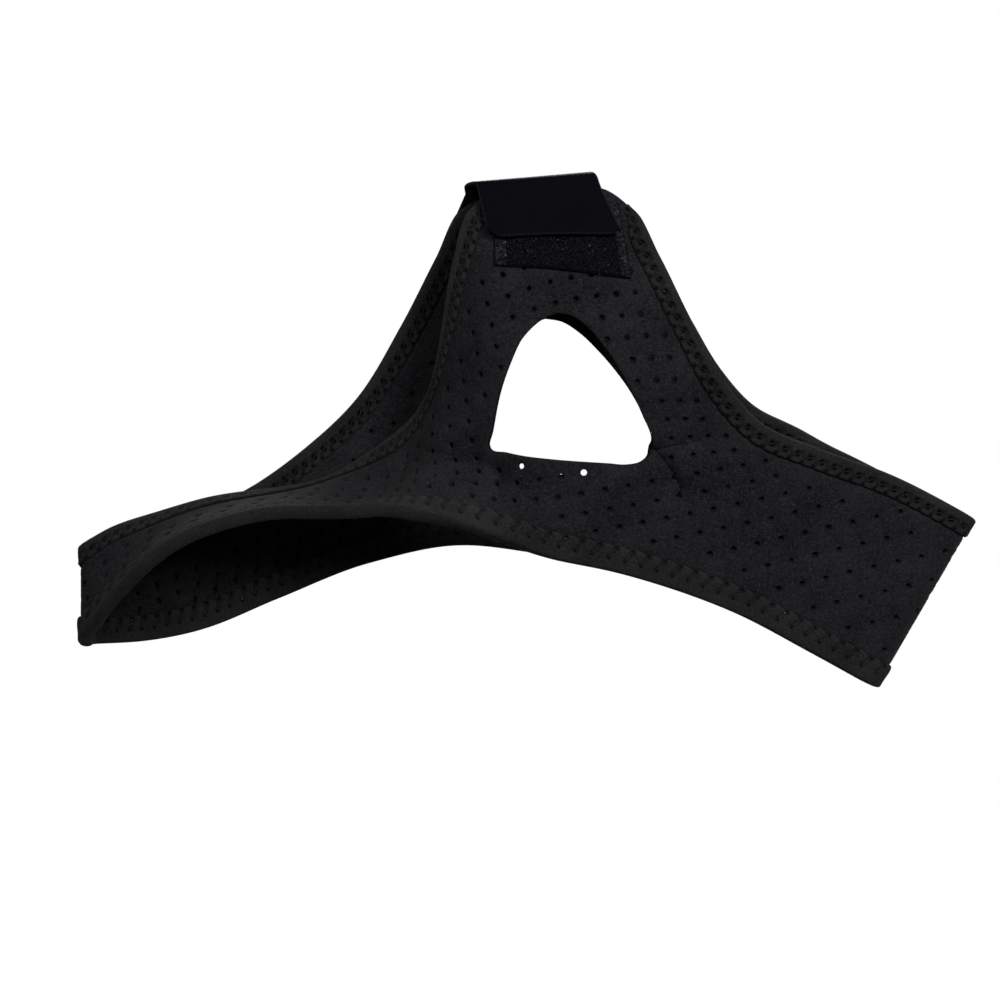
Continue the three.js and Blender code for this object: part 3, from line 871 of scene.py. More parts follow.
THREAD = Finish(
    "thread", dark=(0.003, 0.003, 0.0034), light=(0.013, 0.013, 0.014), roughness=0.6, sheen=0.05,
    loop_pitch=0.4, course_ratio=1.0, yarn_depth=0.08, fibre_scale=2600.0, lint_share=0.05,
    patterned=False, gloss=0.3,
)
LOOP_BASE = Finish(
    "loop_base", dark=(0.0005, 0.0005, 0.0008), light=(0.0022, 0.0022, 0.0030), roughness=0.9, sheen=0.01,
    loop_pitch=0.7, course_ratio=1.0, yarn_depth=0.2, fibre_scale=1600.0, lint_share=0.02,
)
LOOP_EDGE = Finish(
    "loop_edge", dark=(0.0008, 0.0008, 0.0011), light=(0.0150, 0.0150, 0.0170), roughness=0.9, sheen=0.01,
    loop_pitch=0.9, course_ratio=1.0, yarn_depth=0.3, fibre_scale=900.0,
    lint_share=0.2, speck=(0.055, 0.055, 0.06), speck_scale=1000.0,
)
LOOP_YARN = Finish(
    "loop_yarn", dark=(0.0004, 0.0004, 0.0006), light=(0.0072, 0.0072, 0.0096), roughness=0.6, sheen=0.01,
    loop_pitch=0.3, course_ratio=1.0, yarn_depth=0.05, fibre_scale=700.0,
    lint_share=0.06, speck=(0.03, 0.03, 0.034), speck_scale=1000.0, patterned=False, gloss=0.15,
)
HOOK_BACK = Finish(
    "hook_back", dark=(0.0009, 0.0008, 0.0014), light=(0.0021, 0.0019, 0.0030), roughness=0.6, sheen=0.005,
    loop_pitch=0.45, course_ratio=1.0, yarn_depth=0.05, fibre_scale=1900.0,
    lint_share=0.002, speck=(0.012, 0.012, 0.014), speck_scale=2200.0, pale_line_edge=22.6, gloss=0.1,
)


@dataclass
class Dresser:
    """Makes materials on demand and puts finished pieces in the scene under the strap's body."""

    effects: Effects = field(default_factory=Effects)
    made: dict[str, bpy.types.Material] = field(default_factory=dict)

    def material(self, finish: Finish) -> bpy.types.Material:
        """The one material of a finish.

        Args:
            finish: Finish to make or to find again.

        Returns:
            The material.
        """
        if finish.name not in self.made:
            self.made[finish.name] = finish.material(self.effects)
        return self.made[finish.name]

    def dress(
        self, name: str, mesh: bpy.types.Mesh, slot: Slot, finishes: Sequence[Finish], node: str | None = None
    ) -> bpy.types.Object:
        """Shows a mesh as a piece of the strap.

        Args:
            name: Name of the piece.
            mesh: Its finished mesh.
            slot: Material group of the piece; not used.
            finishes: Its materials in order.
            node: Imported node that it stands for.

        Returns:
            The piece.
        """
        # Clearing an empty list would still forget which face has which material
        if len(mesh.materials):
            mesh.materials.clear()
        for finish in finishes:
            mesh.materials.append(self.material(finish))
        piece = show(name, mesh)
        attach(piece, BODY)
        if node:
            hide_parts(node)
        LOG.info("%s: %d faces", name, len(mesh.polygons))
        return piece


class StitchTree:
    """Thread that runs along a seam line, from needle hole to needle hole."""

    def __init__(self) -> None:
        """Builds the tree: every fourth point of the line starts a new zigzag."""
        grown = GrowTree(
            "Stitches",
            {
                "Half Width": ("Float", 0.001),
                "Thread Radius": ("Float", 0.0002),
                "Crown": ("Float", 0.0002),
                "Sink": ("Float", 0.0002),
            },
        )
        make, given = grown.make, grown.inputs
        quarter = make.math("MODULO", make.add("GeometryNodeInputIndex").outputs[0], 4.0)
        swing = make.math("SINE", make.math("MULTIPLY", quarter, math.pi / 2))
        raised = make.math("COSINE", make.math("MULTIPLY", quarter, math.pi))
        high = make.math("MULTIPLY_ADD", raised, 0.5, 0.5)
        stroke = make.math("ADD", given["Crown"], given["Sink"])
        lift = make.math("SUBTRACT", make.math("MULTIPLY", high, stroke), given["Sink"])
        across = make.attribute("across", "FLOAT_VECTOR")
        outward = make.attribute("outward", "FLOAT_VECTOR")
        sideways = make.scaled(across, make.math("MULTIPLY", swing, given["Half Width"]))
        offset = make.vector("ADD", sideways, make.scaled(outward, lift))
        moved = make.add("GeometryNodeSetPosition", {0: given["Geometry"], "Offset": offset})
        line = make.add("GeometryNodeMeshToCurve", {0: moved.outputs[0]})
        section = make.circle(6, given["Thread Radius"])
        thread = make.add(
            "GeometryNodeCurveToMesh", {0: line.outputs[0], 1: section.outputs[0], "Fill Caps": True}
        )
        grown.end(thread.outputs[0])
        self.grown = grown

    def sew(
        self,
        lines: Sequence["SeamLine"],
        half_width: float,
        radius: float,
        material: bpy.types.Material,
        sink: float = 0.2,
    ) -> bpy.types.Mesh:
        """Sews thread along seam lines.

        Args:
            lines: Seam lines with a point at each quarter of a stitch.
            half_width: Swing of the zigzag to each side, in millimetres.
            radius: Radius of the thread, in millimetres.
            material: Material of the thread.
            sink: Depth of the needle holes, in millimetres.

        Returns:
            One mesh of thread.
        """
        meshes = [
            self.grown.grow(
                line.host(),
                {
                    "Half Width": half_width * MM,
                    "Thread Radius": radius * MM,
                    "Crown": 0.55 * radius * MM,
                    "Sink": sink * MM,
                    "Material": material,
                },
            )
            for line in lines
        ]
        return joined(meshes)


def joined(meshes: Sequence[bpy.types.Mesh]) -> bpy.types.Mesh:
    """One mesh from several.

    Args:
        meshes: Meshes to join, which are used up.

    Returns:
        The joined mesh, with its faces outwards.
    """
    build = bmesh.new()
    for mesh in meshes:
        build.from_mesh(mesh)
        bpy.data.meshes.remove(mesh)
    bmesh.ops.recalc_face_normals(build, faces=build.faces)
    whole = bpy.data.meshes.new("joined")
    build.to_mesh(whole)
    build.free()
    return whole


@dataclass
class SeamLine:
    """Line of stitches with a point at each quarter of a stitch, in millimetres."""

    points: np.ndarray
    across: np.ndarray
    outward: np.ndarray

    def host(self) -> bpy.types.Mesh:
        """Mesh of loose edges that carries the line's directions.

        Returns:
            The mesh, in metres.
        """
        count = len(self.points)
        mesh = mesh_from("seam", self.points * MM, [], [(i, i + 1) for i in range(count - 1)])
        for name, values in (("across", self.across), ("outward", self.outward)):
            layer = mesh.attributes.new(name, "FLOAT_VECTOR", "POINT")
            layer.data.foreach_set("vector", np.ascontiguousarray(values, np.float32).ravel())
        return mesh


class AirHoleTree:
    """Flat cut of cloth with punched air holes on a lattice.

    The lattice's columns bend at the cheek, and its rows bow towards the nape.
    """

    def __init__(self) -> None:
        """Builds the tree: lattice, holes that keep off the edges, and the filled cut."""
        grown = GrowTree(
            "Air holes",
            {
                "Hole Radius": ("Float", 0.0015),
                "Origin": ("Vector", (0.0, 0.0, 0.0)),
                "Row Step": ("Vector", (0.008, 0.0, 0.0)),
                "Row Bow": ("Vector", (0.0, 0.0, 0.0)),
                "Crown Step": ("Vector", (0.0, -0.008, 0.0)),
                "Jaw Step": ("Vector", (0.0, -0.008, 0.0)),
                "Jaw Growth": ("Vector", (0.0, 0.0, 0.0)),
                "Jaw Row Step": ("Vector", (0.0, 0.0, 0.0)),
                "Jaw Row Bow": ("Vector", (0.0, 0.0, 0.0)),
                "Last Bowed": ("Float", -12.0),
                "Least Gap": ("Float", 0.0042),
                "Columns": ("Int", 61),
                "Rows": ("Int", 41),
                "Size Spread": ("Float", 0.1),
                "Seed": ("Int", 4),
            },
        )
        make, given = grown.make, grown.inputs
        outline = make.add("GeometryNodeMeshToCurve", {0: given["Geometry"]}).outputs[0]
        filled = make.add("GeometryNodeFillCurve", {0: outline}, mode="TRIANGLES").outputs[0]
        lattice = self.lattice(make, given)
        place = make.add("GeometryNodeInputPosition").outputs[0]
        sample = make.add("GeometryNodeSampleNearest", {0: given["Geometry"], 1: place}, domain="POINT")
        nearest = sample.outputs[0]
        margin = make.attribute("margin", "FLOAT")
        asked = make.add("GeometryNodeSampleIndex", {0: given["Geometry"], 1: margin, 2: nearest})
        edge = make.add(
            "GeometryNodeSampleIndex",
            {0: given["Geometry"], 1: place, 2: nearest},
            data_type="FLOAT_VECTOR",
        ).outputs[0]
        distance = make.add("ShaderNodeVectorMath", {0: place, 1: edge}, operation="DISTANCE")
        crowded = make.math("LESS_THAN", distance.outputs["Value"], asked.outputs[0])
        below = make.vector("SUBTRACT", place, (0.0, 0.0, 1.0))
        ray = make.add(
            "GeometryNodeRaycast",
            {0: filled, "Source Position": below, "Ray Direction": (0.0, 0.0, 1.0), "Ray Length": 2.0},
        )
        outside = make.math("SUBTRACT", 1.0, ray.outputs[0])
        kept = make.add(
            "GeometryNodeDeleteGeometry", {0: lattice, 1: make.math("ADD", crowded, outside)}, domain="POINT"
        )
        spaced = make.add("GeometryNodeMergeByDistance", {0: kept.outputs[0], "Distance": given["Least Gap"]})
        hole = make.circle(8, given["Hole Radius"])
        size = make.add(
            "FunctionNodeRandomValue",
            {
                2: make.math("SUBTRACT", 1.0, given["Size Spread"]),
                3: make.math("ADD", 1.0, given["Size Spread"]),
                "Seed": given["Seed"],
            },
        )
        holes = make.add(
            "GeometryNodeInstanceOnPoints",
            {0: spaced.outputs[0], 2: hole.outputs[0], "Scale": size.outputs[1]},
        )
        punched = make.add("GeometryNodeRealizeInstances", {0: holes.outputs[0]})
        both = make.add("GeometryNodeJoinGeometry", {0: outline})
        make.tree.links.new(punched.outputs[0], both.inputs[0])
        cut = make.add("GeometryNodeFillCurve", {0: both.outputs[0]}, mode="TRIANGLES")
        grown.end(make.add("GeometryNodeSubdivideMesh", {0: cut.outputs[0], 1: 1}).outputs[0])
        self.grown = grown

    @staticmethod
    def lattice(make: TreeMaker, given: bpy.types.NodeOutputs) -> bpy.types.NodeSocket:
        """Points of the lattice.

        Args:
            make: Maker of the tree.
            given: Inputs of the tree.

        Returns:
            Geometry with one point for each hole of the whole lattice.
        """
        grid = make.add(
            "GeometryNodeMeshGrid",
            {
                0: make.math("SUBTRACT", given["Columns"], 1.0),
                1: make.math("SUBTRACT", given["Rows"], 1.0),
                2: given["Columns"],
                3: given["Rows"],
            },
        )
        corner = make.add("GeometryNodeInputPosition").outputs[0]
        count = make.add("ShaderNodeSeparateXYZ", {0: corner}).outputs
        lower = make.math("SMOOTH_MAX", count[1], 0.0, 3.0)
        turned = make.math("MAXIMUM", count[0], given["Last Bowed"])
        bowed = make.math("MINIMUM", turned, 0.0)
        bow = make.math("MULTIPLY", bowed, make.math("SUBTRACT", make.math("MULTIPLY", count[0], 2.0), bowed))
        eased = make.add("ShaderNodeMapRange", {0: count[1], 1: 0.0, 2: 4.0}, interpolation_type="SMOOTHSTEP")
        jaw = eased.outputs[0]
        place = given["Origin"]
        for step, factor in (
            ("Row Step", count[0]),
            ("Row Bow", bow),
            ("Crown Step", make.math("SUBTRACT", count[1], lower)),
            ("Jaw Step", lower),
            ("Jaw Growth", make.math("MULTIPLY", lower, lower)),
            ("Jaw Row Step", make.math("MULTIPLY", jaw, turned)),
            ("Jaw Row Bow", make.math("MULTIPLY", jaw, make.math("MULTIPLY", bowed, bowed))),
        ):
            place = make.vector("ADD", place, make.scaled(given[step], factor))
        return make.add("GeometryNodeSetPosition", {0: grid.outputs[0], 2: place}).outputs[0]


@dataclass(frozen=True)
class BorderRow:
    """Row of a panel's border: how far it lies inside the tape's inner edge, and how deep it is pressed."""

    inside: float
    sink: float


@dataclass
class Panels:
    """Both foam panels, cut to one pattern, punched with air holes and pressed in along their tapes."""

    dresser: Dresser
    edge_step: float = 2.4
    bevel: float = 0.3
    hole_radius: float = 1.0
    hole_lip: float = 0.55
    hole_rounding: tuple[tuple[float, float], ...] = ((0.6, 0.2), (1.0, 0.7))
    ear_step: float = 1.2
    lattice: tuple[tuple[str, tuple[float, float]], ...] = (
        ("Origin", (59.6, -87.2)), ("Row Step", (5.9, -0.6)), ("Row Bow", (-0.13, -0.16)),
        ("Crown Step", (1.7, -7.8)), ("Jaw Step", (3.1, -4.0)), ("Jaw Growth", (0.06, -0.27)),
        ("Jaw Row Step", (3.0, 2.4)), ("Jaw Row Bow", (0.16, 0.2)),
    )
    tape_margin: float = 2.1
    ear_margin: float = 1.75
    crease_reach: float = 5.0
    flat_size: tuple[float, float] = (0.353, 0.188)
    flat_area: float = 0.0232
    weld: float = 0.004
    border: tuple[BorderRow, ...] = (
        BorderRow(-4.5, 0.0), BorderRow(-1.6, 0.0), BorderRow(-0.7, 0.25), BorderRow(0.0, 0.4),
        BorderRow(0.45, 0.3), BorderRow(0.9, 0.12), BorderRow(1.5, 0.0),
    )
    clear_row: tuple[float, float] = (-12.0, 22.0)
    clear_rise: tuple[float, float] = (-104.5, -97.0)
    clear_slant: tuple[float, float] = (0.02, -0.2)
    left_slant: tuple[float, float] = (1.9, -1.7)
    arm_slant: tuple[float, float] = (1.2, -1.2)
    cheek_slant: tuple[float, float] = (0.3, 1.7)
    arm_top: float = -95.0
    ear_pull: tuple[float, float] = (0.3, 1.8)
    ear_lean_reach: float = 9.0
    ear_lean_rise: float = 22.0
    ear_samples: int = 60

    def border_rows(self, edge: Edge, inward: int, cover: float) -> tuple[np.ndarray, np.ndarray]:
        """Rows of points from a panel's cut edge to just inside its tape.

        Args:
            edge: Bound edge of the pattern.
            inward: 1 where the panel lies on the left of the edge's run, or else -1.
            cover: Depth of the tape from the cut edge.

        Returns:
            Pattern points by row and station, and how deep each is pressed.
        """
        count = 2 * int(edge.length / self.edge_step) + 1
        insets = [CUT_BACK + self.bevel] + [CUT_BACK + cover + row.inside for row in self.border]
        sinks = np.array([0.0] + [row.sink for row in self.border])
        dense = np.arange(0.0, edge.length, 0.1)
        rows = []
        for inset in insets:
            flat = edge.insets(dense, inward * inset)
            free = np.all([turn.left_to_seam(flat) > GAP for turn in TURNS], axis=0)
            runs = np.linspace(dense[free][0], dense[free][-1], count)
            row = edge.insets(runs, inward * inset)
            for place, turn in ((0, NAPE_TURN), (-1, CHIN_TURN)):
                row[place] += (turn.left_to_seam(row[place : place + 1 or None]) - SEAM_GAP / 2) * turn.axis
            rows.append(row)
        rows[-1][1::2] = (rows[-1][:-1:2] + rows[-1][2::2]) / 2
        points = np.stack(rows)
        taped = self.taped(points[0])
        return points, sinks[:, None] * taped

    @staticmethod
    def taped(flat: np.ndarray) -> np.ndarray:
        """Share of the tape's press along the cut edge, which is bare at the crown.

        Args:
            flat: Points of the cut edge.

        Returns:
            Shares from 0 to 1.
        """
        ahead = smooth_step((flat[:, 0] - FACE_TAPE_END + PRESS_FADE) / PRESS_FADE)
        behind = smooth_step((REAR_TAPE_END + PRESS_FADE - flat[:, 0]) / PRESS_FADE)
        below = (flat[:, 1] < BOUND_BELOW).astype(float)
        return np.maximum(np.maximum(ahead, behind), below)

    def bridge(self, start: np.ndarray, end: np.ndarray) -> np.ndarray:
        """Points between two corners of the cut.

        Args:
            start: First corner.
            end: Second corner.

        Returns:
            Pattern points without the corners.
        """
        count = max(int(np.linalg.norm(end - start) / self.edge_step), 2)
        share = np.linspace(0.0, 1.0, count + 1)[1:-1, None]
        return start + (end - start) * share

    def ear(self, side: WornSide) -> np.ndarray:
        """Cut edge of a side's ear opening, clockwise, as far out as its bevel.

        Args:
            side: Panel that is cut.

        Returns:
            Pattern points.
        """
        top = EAR_ROWS[0][1]
        runs = np.linspace(0.0, EAR_EDGE.length, int(EAR_EDGE.length / self.ear_step) + 1)[:-1]
        line = EAR_EDGE.insets(runs, -self.bevel)
        line[:, 1] = top + (line[:, 1] - top) * side.ear_stretch - side.ear_drop
        return line[::-1]

    def cut(self, side: WornSide, tree: AirHoleTree) -> tuple[np.ndarray, np.ndarray, list[tuple[int, ...]]]:
        """Flat cut of one panel with its air holes.

        Args:
            side: Panel that is cut.
            tree: Tree that punches the holes.

        Returns:
            Pattern points, how deep each is pressed, and faces.
        """
        jaw, jaw_sink = self.border_rows(JAW_EDGE, 1, JAW_COVER)
        rim, rim_sink = self.border_rows(RIM_EDGE, -1, RIM_COVER)
        inner_jaw, inner_rim = jaw[-1][::2], rim[-1][::-2]
        chin = self.bridge(inner_jaw[-1], inner_rim[0])
        nape = self.bridge(inner_rim[-1], inner_jaw[0])
        ear = self.ear(side)
        outline = np.concatenate([inner_jaw, chin, inner_rim, nape])
        flat = np.concatenate([outline, ear])
        edges = []
        for start, count in ((0, len(outline)), (len(outline), len(ear))):
            edges += [(start + i, start + (i + 1) % count) for i in range(count)]
        host = mesh_from("cut", np.column_stack([flat * MM, np.zeros(len(flat))]), [], edges)
        keep_off = np.full(len(flat), self.tape_margin)
        keep_off[len(outline) :] = self.ear_margin
        write_floats(host, "margin", keep_off * MM)
        sizes = {name: (step[0] * MM, step[1] * MM, 0.0) for name, step in self.lattice}
        sizes["Hole Radius"] = (self.hole_radius + self.hole_lip) * MM
        sizes["Material"] = self.dresser.material(FOAM_CLOTH)
        build = bmesh.new()
        middle = tree.grown.grow(host, sizes)
        build.from_mesh(middle)
        bpy.data.meshes.remove(middle)
        depth = build.verts.layers.float.new("sink")
        build.normal_update()
        bmesh.ops.reverse_faces(build, faces=[face for face in build.faces if face.normal.z < 0])
        for rows, sinks, turned in ((jaw, jaw_sink, False), (rim, rim_sink, True)):
            self.add_border(build, depth, rows, sinks, turned)
        bmesh.ops.remove_doubles(build, verts=build.verts, dist=self.weld * MM)
        return self.refined(build, depth, side)

    @staticmethod
    def add_border(
        build: bmesh.types.BMesh, depth: object, rows: np.ndarray, sinks: np.ndarray, turned: bool
    ) -> None:
        """Adds a border's rows to a flat cut.

        Args:
            build: Flat cut.
            depth: Layer of how deep each point is pressed.
            rows: Pattern points by row and station.
            sinks: How deep each is pressed.
            turned: Whether the rows run inwards on the right of the edge.
        """
        verts = []
        for row, sink in zip(rows, sinks):
            line = [build.verts.new((along * MM, up * MM, 0.0)) for along, up in row]
            for vert, value in zip(line, sink):
                vert[depth] = value
            verts.append(line)
        for low, high in zip(verts[:-1], verts[1:]):
            for i in range(len(low) - 1):
                quad = (low[i], low[i + 1], high[i + 1], high[i])
                build.faces.new(quad[::-1] if turned else quad)

    def refined(
        self, build: bmesh.types.BMesh, depth: object, side: WornSide
    ) -> tuple[np.ndarray, np.ndarray, list[tuple[int, ...]]]:
        """Points and faces of a flat cut, with closer points along the sharp creases.

        Args:
            build: Flat cut, which is used up.
            depth: Layer of how deep each point is pressed.
            side: Panel whose creases are read.

        Returns:
            Pattern points, how deep each is pressed, and faces.
        """
        lines = [np.array(fold.line) for fold in side.folds if fold in SHARP_FOLDS]
        middles = np.array([((edge.verts[0].co + edge.verts[1].co) / 2)[:2] for edge in build.edges]) / MM
        near = np.zeros(len(middles), bool)
        for line in lines:
            near |= distance_to_line(middles, line) < self.crease_reach
        close = [edge for edge, chosen in zip(build.edges, near) if chosen and not edge.is_boundary]
        bmesh.ops.subdivide_edges(build, edges=close, cuts=2, use_grid_fill=True)
        bmesh.ops.triangulate(build, faces=[face for face in build.faces if len(face.verts) > 4])
        build.verts.index_update()
        flat = np.array([vert.co[:2] for vert in build.verts]) / MM
        sink = np.array([vert[depth] for vert in build.verts])
        faces = [tuple(vert.index for vert in face.verts) for face in build.faces]
        build.free()
        return flat, sink, faces

    @property
    def widest_hole(self) -> float:
        """Size below which a closed edge is an air hole."""
        return 4 * (self.hole_radius + self.hole_lip)

    def hole_loops(self, flat: np.ndarray, faces: list[tuple[int, ...]]) -> list[list[int]]:
        """Closed edges of a cut that are air holes."""
        loops = boundary_loops(faces)
        return [loop for loop in loops if np.ptp(flat[loop], axis=0).max() < self.widest_hole]

    def slant(self, side: WornSide, centre: np.ndarray) -> np.ndarray:
        """How far a hole's back end lies off its front end, because stretched foam is sheared.

        Args:
            side: Panel that is punched.
            centre: Pattern point at the hole's middle.

        Returns:
            Shift as (along, up).
        """
        along, up = centre
        start, end = self.clear_row
        low, high = self.clear_rise
        if side is LEFT:
            return np.array(self.left_slant)
        if along < start and up < self.arm_top:
            return np.array(self.arm_slant)
        if start < along < end and low < up < high:
            return np.array([self.clear_slant[0] * along, self.clear_slant[1]])
        return np.array(self.cheek_slant)

    def ear_lean(self, side: WornSide, flat: np.ndarray) -> np.ndarray:
        """How far the right panel's back is pulled up over its ear opening, which hides most of that cut.

        Args:
            side: Panel that is punched.
            flat: Pattern points.

        Returns:
            One shift for each point.
        """
        if side is LEFT:
            return np.zeros_like(flat)
        cut = EAR_EDGE.points(np.linspace(0.0, EAR_EDGE.length, self.ear_samples))
        near = 1 - smooth_step(distance_to_line(flat, cut) / self.ear_lean_reach)
        high = smooth_step((flat[:, 1] - self.arm_top) / self.ear_lean_rise)
        return (near * high)[:, None] * self.ear_pull

    def rim(self, line: np.ndarray) -> tuple[RimStep, ...]:
        """Finished rim of an air hole or of a cut edge.

        Args:
            line: Pattern points of the closed edge.

        Returns:
            Steps of the rim from the face inwards.
        """
        if np.ptp(line[:, 0]) < self.widest_hole:
            return tuple(RimStep(share * self.hole_lip, depth) for share, depth in self.hole_rounding)
        return (RimStep(self.bevel, self.bevel),)

    def build(self, tree: AirHoleTree) -> list[bpy.types.Object]:
        """Builds both panels.

        Args:
            tree: Tree that punches the holes.

        Returns:
            The right and the left panel.
        """
        pieces = []
        # The back end of a hole takes this share of its slant, and the front end the rest
        for side, node, back_share in ((RIGHT, "right_panel", 1.0), (LEFT, "left_panel", 0.5)):
            flat, sink, faces = self.cut(side, tree)
            behind = flat.copy()
            for loop in self.hole_loops(flat, faces):
                centre = flat[loop].mean(axis=0)
                spoke = flat[loop] - centre
                flat[loop] = centre + unit(spoke) * np.linalg.norm(spoke, axis=1).max()
                slant = self.slant(side, centre)
                behind[loop] = flat[loop] + slant * back_share
                flat[loop] = behind[loop] - slant
            behind += self.ear_lean(side, flat)
            half = WALL / 2
            shell = Shell(
                flat, faces, side.stand_off, half, -half, self.rim, turned=side.outward < 0,
                core_depth=self.bevel, back_flat=behind, sink=sink,
            )
            mesh = shell.mesh(node)
            pieces.append(self.dresser.dress(f"{node}_foam", mesh, Slot.FOAM, (FOAM_CLOTH, FOAM_CORE), node))
        return pieces


@dataclass(frozen=True)
class TapeRun:
    """Stretch of a panel's edge that a tape binds, and where on it the tape ends bare."""

    side: WornSide
    edge: Edge
    start: float
    end: float
    inward: int
    bare_end: float = math.inf
    end_cover: float = 1.0

    def ended(self, lengths: np.ndarray, reach: float, least: float) -> np.ndarray:
        """Share that is left of a size near the bare end, from its least at the end to 1."""
        return least + (1 - least) * smooth_step(np.abs(lengths - self.bare_end) / reach)


@dataclass(frozen=True)
class Pit:
    """Dent that a stitch pulls into a tape, placed by its share of the pitch and its way off the middle."""

    phase: float
    off: float
    depth: float
    half_length: float
    half_width: float


@dataclass(frozen=True)
class Zigzag:
    """Zigzag that holds a tape, with a steep and a slack thread in each stitch.

    The middle and half width are measured from the cut edge of the panel.
    """

    middle: float
    half_width: float
    pitch: float
    puff: float
    scallop: float
    pits: tuple[Pit, ...]
    steep: float = 0.3
    thread: float = 0.22

    def phase(self, runs: np.ndarray) -> np.ndarray:
        """Share of a stitch from the middle of the nearest steep thread."""
        return runs / self.pitch - np.round(runs / self.pitch)

    def swell(self, runs: np.ndarray) -> np.ndarray:
        """Rise of the cloth between stitches, from -0.5 at a steep thread to 0.5."""
        return np.abs(np.sin(math.pi * runs / self.pitch)) ** 0.7 - 0.5

    def quarters(self, low: float, high: float) -> np.ndarray:
        """Lengths along the edge of each stitch's two threads and two needle holes."""
        stitches = np.arange(math.ceil(low / self.pitch), math.floor(high / self.pitch))
        return ((stitches[:, None] + (0.0, self.steep / 2, 0.5, 1 - self.steep / 2)) * self.pitch).ravel()

    def dents(self, runs: np.ndarray, depth: float, bite: float, bite_width: float) -> np.ndarray:
        """How deep the steep threads and the needle holes press the cloth.

        Args:
            runs: Lengths along the edge.
            depth: Distance from the cut edge.
            bite: Depth of the groove under a steep thread.
            bite_width: Half width of that groove.

        Returns:
            One depth for each length.
        """
        phase = self.phase(runs)
        reach = self.steep * self.pitch / 2
        thread = np.array([(-reach, -self.half_width), (reach, self.half_width)])
        places = np.column_stack([phase * self.pitch, np.full(len(runs), depth - self.middle)])
        pressed = bite * np.exp(-((distance_to_line(places, thread) / bite_width) ** 2))
        for pit in self.pits:
            ahead = (phase - pit.phase - np.round(phase - pit.phase)) * self.pitch / pit.half_length
            off = (depth - self.middle - pit.off) / pit.half_width
            pressed = np.maximum(pressed, pit.depth * np.exp(-(ahead**4) - off**4))
        return pressed


